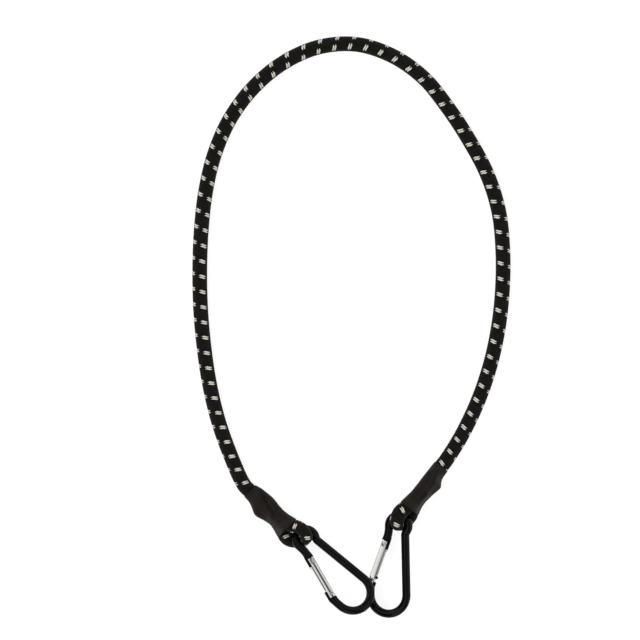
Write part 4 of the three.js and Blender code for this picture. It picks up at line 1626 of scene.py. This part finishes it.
@dataclass(frozen=True)
class CarabinerSizes:
    """The sizes of a carabiner, in its own frame: the eye is centred on the origin and +X runs along
    the straight spine, which lies on +Y, with the gate on -Y."""

    rod: float = 2.8 * MM
    eye: float = 6.85 * MM
    spine: float = 4.4 * MM
    basket: float = 12.6 * MM
    basket_reach: float = 46.4 * MM
    neck: float = 3.4 * MM
    shoulder: Flat = (9 * MM, -8.55 * MM)
    nose: Flat = (38.9 * MM, -20.2 * MM)
    swell_reach: float = 2.2 * MM
    swell_power: float = 0.6
    gate: float = 3.1 * MM
    gate_rim: float = 0.35 * MM
    heel: float = 2.7 * MM
    shoulder_gap: float = 0.9 * MM
    latch_gap: float = 0.5 * MM
    tongue: float = 1.8 * MM
    tongue_reach: float = 3 * MM
    latch_tongue: float = 6 * MM
    pin_inset: float = 3.2 * MM
    air: float = 0.3 * MM
    notch_air: float = 0.4 * MM
    pin: float = 0.9 * MM
    pin_rim: float = 0.15 * MM
    pin_recess: float = 0.3 * MM
    rivet_head: float = 1.6 * MM
    rivet_head_height: float = 0.45 * MM
    rivet_rim_share: float = 0.3
    rivet_seat: float = 0.35 * MM
    fork_flat: float = 1.85 * MM
    bore: float = 1.8 * MM
    bore_end_wall: float = 1.8 * MM
    plunger: float = 4 * MM
    stem: float = 4 * MM
    wire: float = 0.25 * MM
    spring_pitch: float = 1.29 * MM
    open_degrees: float = 25
    rod_edge: float = 0.16 * MM
    gate_edge: float = 0.09 * MM

    @property
    def gate_run(self) -> np.ndarray:
        """From the hinge shoulder to the latch shoulder."""
        return np.subtract(self.nose, self.shoulder)

    @property
    def gate_way(self) -> np.ndarray:
        """The direction of the gate."""
        return unit(self.gate_run)

    @property
    def shoulder_reach(self) -> float:
        """From the rivet back to the hinge shoulder."""
        return self.heel + self.shoulder_gap

    @property
    def rivet(self) -> np.ndarray:
        """The rivet's place."""
        return np.array(self.shoulder) + self.gate_way * self.shoulder_reach

    @property
    def latch_reach(self) -> float:
        """From the rivet to the latch shoulder."""
        return float(np.linalg.norm(self.gate_run)) - self.shoulder_reach

    @property
    def pin_reach(self) -> float:
        """From the rivet to the latch pin."""
        return self.latch_reach - self.pin_inset

    @property
    def slot_start(self) -> float:
        """From the rivet to the root of the gate's latch slot."""
        return self.latch_reach - self.latch_tongue - self.air - self.notch_air

    @property
    def seat_height(self) -> float:
        """The height of the flat that each rivet head sits over."""
        return self.gate - self.rivet_seat

    @property
    def spring_ends(self) -> Flat:
        """From the rivet to the middle of the spring's first and last turn."""
        start = self.tongue_reach + self.plunger + 2 * self.air + self.wire
        return start, self.slot_start - self.bore_end_wall - self.air - self.wire

    @property
    def gate_matrix(self) -> Matrix:
        """The gate's frame, centred on the rivet, in the carabiner's frame."""
        turn = Matrix.Rotation(math.atan2(self.gate_way[1], self.gate_way[0]), 4, "Z")
        return Matrix.Translation((*self.rivet, 0.0)) @ turn


@dataclass(frozen=True)
class CarabinerShop:
    """Makes the carabiner's pieces once, in its own frame and in the gate's.

    The counts are how many points the stretches of the rod's line have, and how many sides round pieces.
    """

    sizes: CarabinerSizes = CarabinerSizes()
    curve_points: int = 13
    eye_points: int = 60
    neck_points: int = 16
    spine_points: int = 20
    basket_points: int = 56
    dome_points: int = 8
    coil_points: int = 24
    rod_sides: int = 36
    gate_sides: int = 56
    pin_sides: int = 32
    wire_sides: int = 10
    head_sharp_degrees: float = 40
    pin_sharp_degrees: float = 30
    cutter_share: float = 2.2

    @staticmethod
    def arc(centre: Flat, radius: float, start: float, end: float, count: int) -> list[Flat]:
        """Points on an arc, in degrees from +X."""
        angles = np.radians(np.linspace(start, end, count))
        return [(centre[0] + radius * math.cos(a), centre[1] + radius * math.sin(a)) for a in angles]

    def end_curve(self, start: Flat, shoulder: Flat) -> list[Flat]:
        """The rod's curve from a run along X to the gate's line.

        Args:
            start: Where the run ends.
            shoulder: Where the gate's line starts.

        Returns:
            The points.
        """
        way = self.sizes.gate_way
        first, last = np.array(start), np.array(shoulder)
        corner = last + way * ((start[1] - shoulder[1]) / way[1])
        shares = np.linspace(0, 1, self.curve_points)
        return [tuple((1 - t) ** 2 * first + 2 * t * (1 - t) * corner + t * t * last) for t in shares]

    def rod_line(self) -> tuple[np.ndarray, np.ndarray]:
        """The rod's centre line and its radius at each point.

        Returns:
            The points and the radii.
        """
        s = self.sizes
        turn = math.acos((s.spine + s.neck) / (s.eye + s.neck))
        neck_centre = ((s.eye + s.neck) * math.sin(turn), s.spine + s.neck)
        turn_degrees = math.degrees(turn)
        hinge = self.end_curve((0.0, -s.eye), s.shoulder)[::-1]
        eye = self.arc((0, 0), s.eye, 270, 90 - turn_degrees, self.eye_points)
        neck = self.arc(neck_centre, s.neck, -90 - turn_degrees, -90, self.neck_points)
        basket = self.arc((s.basket_reach, s.spine - s.basket), s.basket, 90, -90, self.basket_points)
        spine = [tuple(p) for p in np.linspace(neck[-1], basket[0], self.spine_points)[1:-1]]
        latch = self.end_curve(basket[-1], s.nose)
        hinge_tip = tuple(s.rivet + s.gate_way * s.tongue_reach)
        latch_tip = tuple(s.rivet + s.gate_way * (s.latch_reach - s.latch_tongue))
        flat = np.array([hinge_tip, *hinge, *eye[1:], *neck[1:], *spine, *basket, *latch[1:], latch_tip])
        near = np.min([np.linalg.norm(flat - np.array(end), axis=1) for end in (s.shoulder, s.nose)], axis=0)
        swell = np.clip(1 - near / s.swell_reach, 0, 1) ** s.swell_power
        swell[[0, -1]] = 1.0
        return np.column_stack([flat, np.zeros(len(flat))]), s.rod + (s.gate - s.rod) * swell

    def body(self) -> Mesh:
        """The bent rod, with its hinge tongue and its notched latch tongue.

        Returns:
            The mesh, in the carabiner's frame.
        """
        s = self.sizes
        points, radii = self.rod_line()
        blank = tube_mesh("rod_blank", rings_round(points, radii, radii, self.rod_sides))
        middle, reach, half = s.latch_reach / 2, self.cutter_share * s.gate, s.pin + s.notch_air
        cutters = []
        for start, end in ((-s.shoulder_reach, middle), (middle, s.latch_reach)):
            for face in (1, -1):
                low, high = sorted((face * s.tongue / 2, face * reach))
                cutters.append(box_mesh((start, -reach, low), (end, reach, high)))
        cutters.append(turned_mesh(rod_profile(s.pin + s.air, -reach, reach), self.pin_sides))
        cutters.append(box_mesh((s.pin_reach - half, -half, -reach), (s.pin_reach + half, reach, reach)))
        for cutter in cutters:
            cutter.transform(s.gate_matrix)
        return machined("carabiner_rod", blank, cutters, s.rod_edge)

    def gate(self, flat_side: int) -> Mesh:
        """The gate, with a fork at each end and a bore for its spring.

        Args:
            flat_side: 1 or -1, the side of Y on which the fork is milled flat and shows the tongue.

        Returns:
            The mesh, in the gate's frame.
        """
        s = self.sizes
        end, side, rim = s.latch_reach - s.latch_gap, 2 * s.gate, s.gate_rim
        profile = [(0, -s.heel), (s.gate - rim, -s.heel), (s.gate, -s.heel + rim)]
        profile += [(s.gate, end - rim), (s.gate - rim, end), (0, end)]
        blank = turned_mesh(profile, self.gate_sides, along_x=True)
        slot = s.tongue / 2 + s.air
        hinge_slot = math.hypot(s.tongue_reach, s.rod) + s.air
        relief = box_mesh((-s.shoulder_reach - side, -side, -side), (-s.shoulder_reach + s.air, side, side))
        relief.transform(Matrix.Rotation(-math.radians(s.open_degrees), 4, "Z"))
        pin_hole, latch_hole = (
            turned_mesh(rod_profile(s.pin + s.air, -side, side), self.pin_sides) for _ in range(2)
        )
        latch_hole.transform(Matrix.Translation((s.pin_reach, 0, 0)))
        seat = s.rivet_head + s.air
        low, high = sorted((flat_side * s.fork_flat, flat_side * side))
        bore = rod_profile(s.bore, s.tongue_reach, s.slot_start - s.bore_end_wall)
        cutters = [
            box_mesh((-s.heel - side, low, -side), (s.tongue_reach + s.air, high, side)),
            box_mesh((s.slot_start, low, -side), (end + side, high, side)),
            box_mesh((-s.heel - side, -side, -slot), (hinge_slot, side, slot)),
            box_mesh((s.slot_start, -side, -slot), (end + side, side, slot)),
            relief,
            turned_mesh(bore, self.pin_sides, along_x=True),
            pin_hole,
            latch_hole,
            turned_mesh(rod_profile(seat, s.seat_height, side), self.pin_sides),
            turned_mesh(rod_profile(seat, -side, -s.seat_height), self.pin_sides),
        ]
        return machined("gate", blank, cutters, s.gate_edge)

    def rivet(self) -> Mesh:
        """The hinge rivet with a domed head on each side.

        Returns:
            The mesh, in the gate's frame.
        """
        s = self.sizes
        seat, rim = s.seat_height + s.air, s.rivet_rim_share
        upper = [(s.pin, seat), (s.rivet_head, seat)]
        for angle in np.linspace(0, math.pi / 2, self.dome_points)[:-1]:
            rise = s.rivet_head_height * (rim + (1 - rim) * math.sin(angle))
            upper.append((s.rivet_head * math.cos(angle), seat + rise))
        upper.append((0, seat + s.rivet_head_height))
        profile = [(radius, -height) for radius, height in reversed(upper)] + upper
        return shade_soft(turned_mesh(profile, self.rod_sides, name="rivet"), self.head_sharp_degrees)

    def latch_pin(self) -> Mesh:
        """The pin across the gate's latch end.

        Returns:
            The mesh, in the gate's frame.
        """
        s = self.sizes
        half, rim = s.gate - s.pin_recess, s.pin_rim
        upper = [(s.pin, half - rim), (s.pin - rim, half), (0, half)]
        profile = [(radius, -height) for radius, height in reversed(upper)] + upper
        mesh = turned_mesh(profile, self.pin_sides, name="latch_pin")
        mesh.transform(Matrix.Translation((s.pin_reach, 0, 0)))
        return shade_soft(mesh, self.pin_sharp_degrees)

    def spring_plunger(self) -> Mesh:
        """The plunger that bears on the hinge tongue.

        Returns:
            The mesh, in the gate's frame.
        """
        s = self.sizes
        head, stem = s.bore - s.air, s.bore - 2 * s.air - 2 * s.wire
        nose = s.tongue_reach + s.air
        back, tip = nose + s.plunger, nose + s.plunger + s.stem
        chamfer = head / 4
        profile = [(0, nose), (head - chamfer, nose), (head, nose + chamfer), (head, back), (stem, back)]
        profile += [(stem, tip - chamfer), (stem - chamfer, tip), (0, tip)]
        mesh = turned_mesh(profile, self.pin_sides, along_x=True, name="spring_plunger")
        return shade_soft(mesh, self.pin_sharp_degrees)

    def spring(self) -> Mesh:
        """The compression spring in the gate's bore.

        Returns:
            The mesh, in the gate's frame.
        """
        s = self.sizes
        start, end = s.spring_ends
        radius = s.bore - s.air - s.wire
        turns = (end - start) / s.spring_pitch
        shares = np.linspace(0, 1, round(turns * self.coil_points) + 1)
        angles = shares * turns * FULL_TURN
        reach = start + (end - start) * shares
        points = np.column_stack([reach, radius * np.cos(angles), radius * np.sin(angles)])
        wire = np.full(len(points), s.wire)
        return tube_mesh("spring", rings_round(points, wire, wire, self.wire_sides))


@dataclass(frozen=True)
class Carabiner:
    """One carabiner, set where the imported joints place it."""

    side: Side
    sizes: CarabinerSizes

    def joint(self, name: str) -> dict:
        """A packed joint of this side by the end of its name."""
        return next(joint for joint in frame["joints"] if joint["name"] == self.side.name_of(name))

    def matrix(self) -> Matrix:
        """The carabiner's frame in the shared frame, from the swing's and the gate's hinges.

        Returns:
            The matrix.
        """
        swing, hinge = self.joint("carabiner_swing"), self.joint("gate_hinge")
        normal, centre = unit(np.array(swing["axis"])), np.array(swing["pos_m"])
        towards = np.array(hinge["pos_m"]) - centre
        towards = unit(towards - normal * normal.dot(towards))
        angle = -math.atan2(self.sizes.rivet[1], self.sizes.rivet[0])
        along = towards * math.cos(angle) + np.cross(normal, towards) * math.sin(angle)
        made = Matrix.Identity(4)
        for row, values in enumerate(zip(along, np.cross(normal, along), normal, centre)):
            made[row] = values
        return made

    def build(self, meshes: dict[str, Mesh]) -> None:
        """Sets all six pieces of the carabiner.

        Args:
            meshes: The shop's meshes by name.
        """
        hook = self.matrix()
        gate = hook @ self.sizes.gate_matrix
        rows = (
            ("carabiner_rod", hook,"carabiner", "black_anodised_aluminium", "carabiner_body", Look.ANODISED),
            ("gate_bar", gate, "gate_arm", "polished_aluminium", "gate", Look.POLISHED),
            ("rivet", gate, "carabiner", "pin_steel", "hinge_rivet", Look.STEEL),
            ("catch_pin", gate, "gate_arm", "pin_steel", "latch_pin", Look.STEEL),
            ("plunger", gate, "plunger", "pin_steel", "spring_plunger", Look.STEEL),
            ("spring", gate, "gate_arm", "spring_steel", "gate_spring", Look.SPRING),
        )
        name_of = self.side.name_of
        for name, place, body, slot, node, look in rows:
            mesh = meshes[name].copy()
            keep_piece_space(mesh)
            mesh.transform(place)
            piece = Fitting(name_of(body), slot, name_of(node), look).join(name_of(f"{name}_piece"), mesh)
            if name == "spring":
                self.squeeze(piece)

    def squeeze(self, piece: bpy.types.Object) -> None:
        """Gives the spring its own copy of its mesh and reads the plunger's slide joint; it does not shorten
        the spring.

        Args:
            piece: The spring.
        """
        start, end = self.sizes.spring_ends
        slide = self.joint("plunger_slide")
        tuple(slide["axis"])
        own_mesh(piece)


# The whole cord

LEFT_SLEEVE = ShrinkSleeve(
    Side.LEFT,
    FreeCord.route[0],
    heading_degrees=-45.0,
    outline=(
        (-1.3, 5.5, 5.4), (3, 6.8, 5.6), (6, 7.2, 6.4), (12, 7.8, 9.2), (15, 7.7, 8.8), (19, 7.1, 7.4),
        (24, 6.9, 6.3), (28, 7.4, 7.0), (34, 9.0, 8.8),
    ),
    creases=(
        Crease((2, 42), (13, 25), depth=-1.20, width=2.0),
        Crease((12, 25), (23.5, -5), depth=-1.20, width=1.5),
        Crease((16, 58), (26, 42), depth=0.25, width=1.6),
        Crease((24, 42), (25, 4), depth=-0.45, width=0.7),
        Crease((26, 40), (27, 5), depth=0.30, width=0.8),
        Crease((7, -20), (17, -42), depth=0.20, width=2.2),
    ),
    seed=3.1,
)
RIGHT_SLEEVE = ShrinkSleeve(
    Side.RIGHT,
    FreeCord.route[-1],
    heading_degrees=-128.1,
    outline=(
        (-1.3, 5.4, 5.4), (4, 5.6, 5.5), (7, 6.5, 5.6), (10, 8.7, 5.6), (12, 8.5, 5.6), (17, 7.4, 5.5),
        (24, 6.5, 5.6), (28, 6.6, 6.2), (34, 8.1, 7.1),
    ),
    creases=(
        Crease((3, 0), (15, 7), depth=-1.20, width=1.7),
        Crease((14, 7), (28, 15), depth=-1.00, width=1.3),
        Crease((22.4, -42), (22.8, -6), depth=-0.70, width=0.75),
        Crease((24.4, -42), (24.7, -8), depth=0.45, width=0.7),
        Crease((26.2, -42), (26.5, -6), depth=-0.70, width=0.75),
        Crease((7, 70), (11, 82), depth=0.40, width=1.4),
    ),
    seed=7.7,
)
LEFT_FOLD = FoldedEnd(
    mark_from=64.3 * MM, mark_pitch=9.3 * MM, roll_degrees=76.0, spread=(1.2 * MM, -2.6 * MM)
)
RIGHT_FOLD = FoldedEnd(
    mark_from=41.9 * MM, mark_pitch=8.5 * MM, roll_degrees=1.0, spread=(-1.1 * MM, 1 * MM)
)


def dress_crimps() -> None:
    """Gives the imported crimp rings, which stay as they are, their metal finish."""
    for side in Side:
        node = frame["nodes"][side.name_of("crimp_ring")]
        Look.ZINC.dress(node)
        LOG.info("%s: kept, dull zinc", node.name)


def main() -> None:
    """Builds the studio, the cord, its ends and the carabiners."""
    logging.basicConfig(level=logging.INFO, format="%(message)s")
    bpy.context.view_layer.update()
    Studio().build()
    FreeCord().build()
    for fold, sleeve in ((LEFT_FOLD, LEFT_SLEEVE), (RIGHT_FOLD, RIGHT_SLEEVE)):
        fold.build(sleeve.build())
    shop = CarabinerShop()
    meshes = {
        "carabiner_rod": shop.body(),
        "rivet": shop.rivet(),
        "catch_pin": shop.latch_pin(),
        "plunger": shop.spring_plunger(),
        "spring": shop.spring(),
    }
    for side, flat_side in ((Side.LEFT, -1), (Side.RIGHT, 1)):
        meshes["gate_bar"] = shop.gate(flat_side)
        Carabiner(side, shop.sizes).build(meshes)
    dress_crimps()


if __name__ == "__main__":
    main()
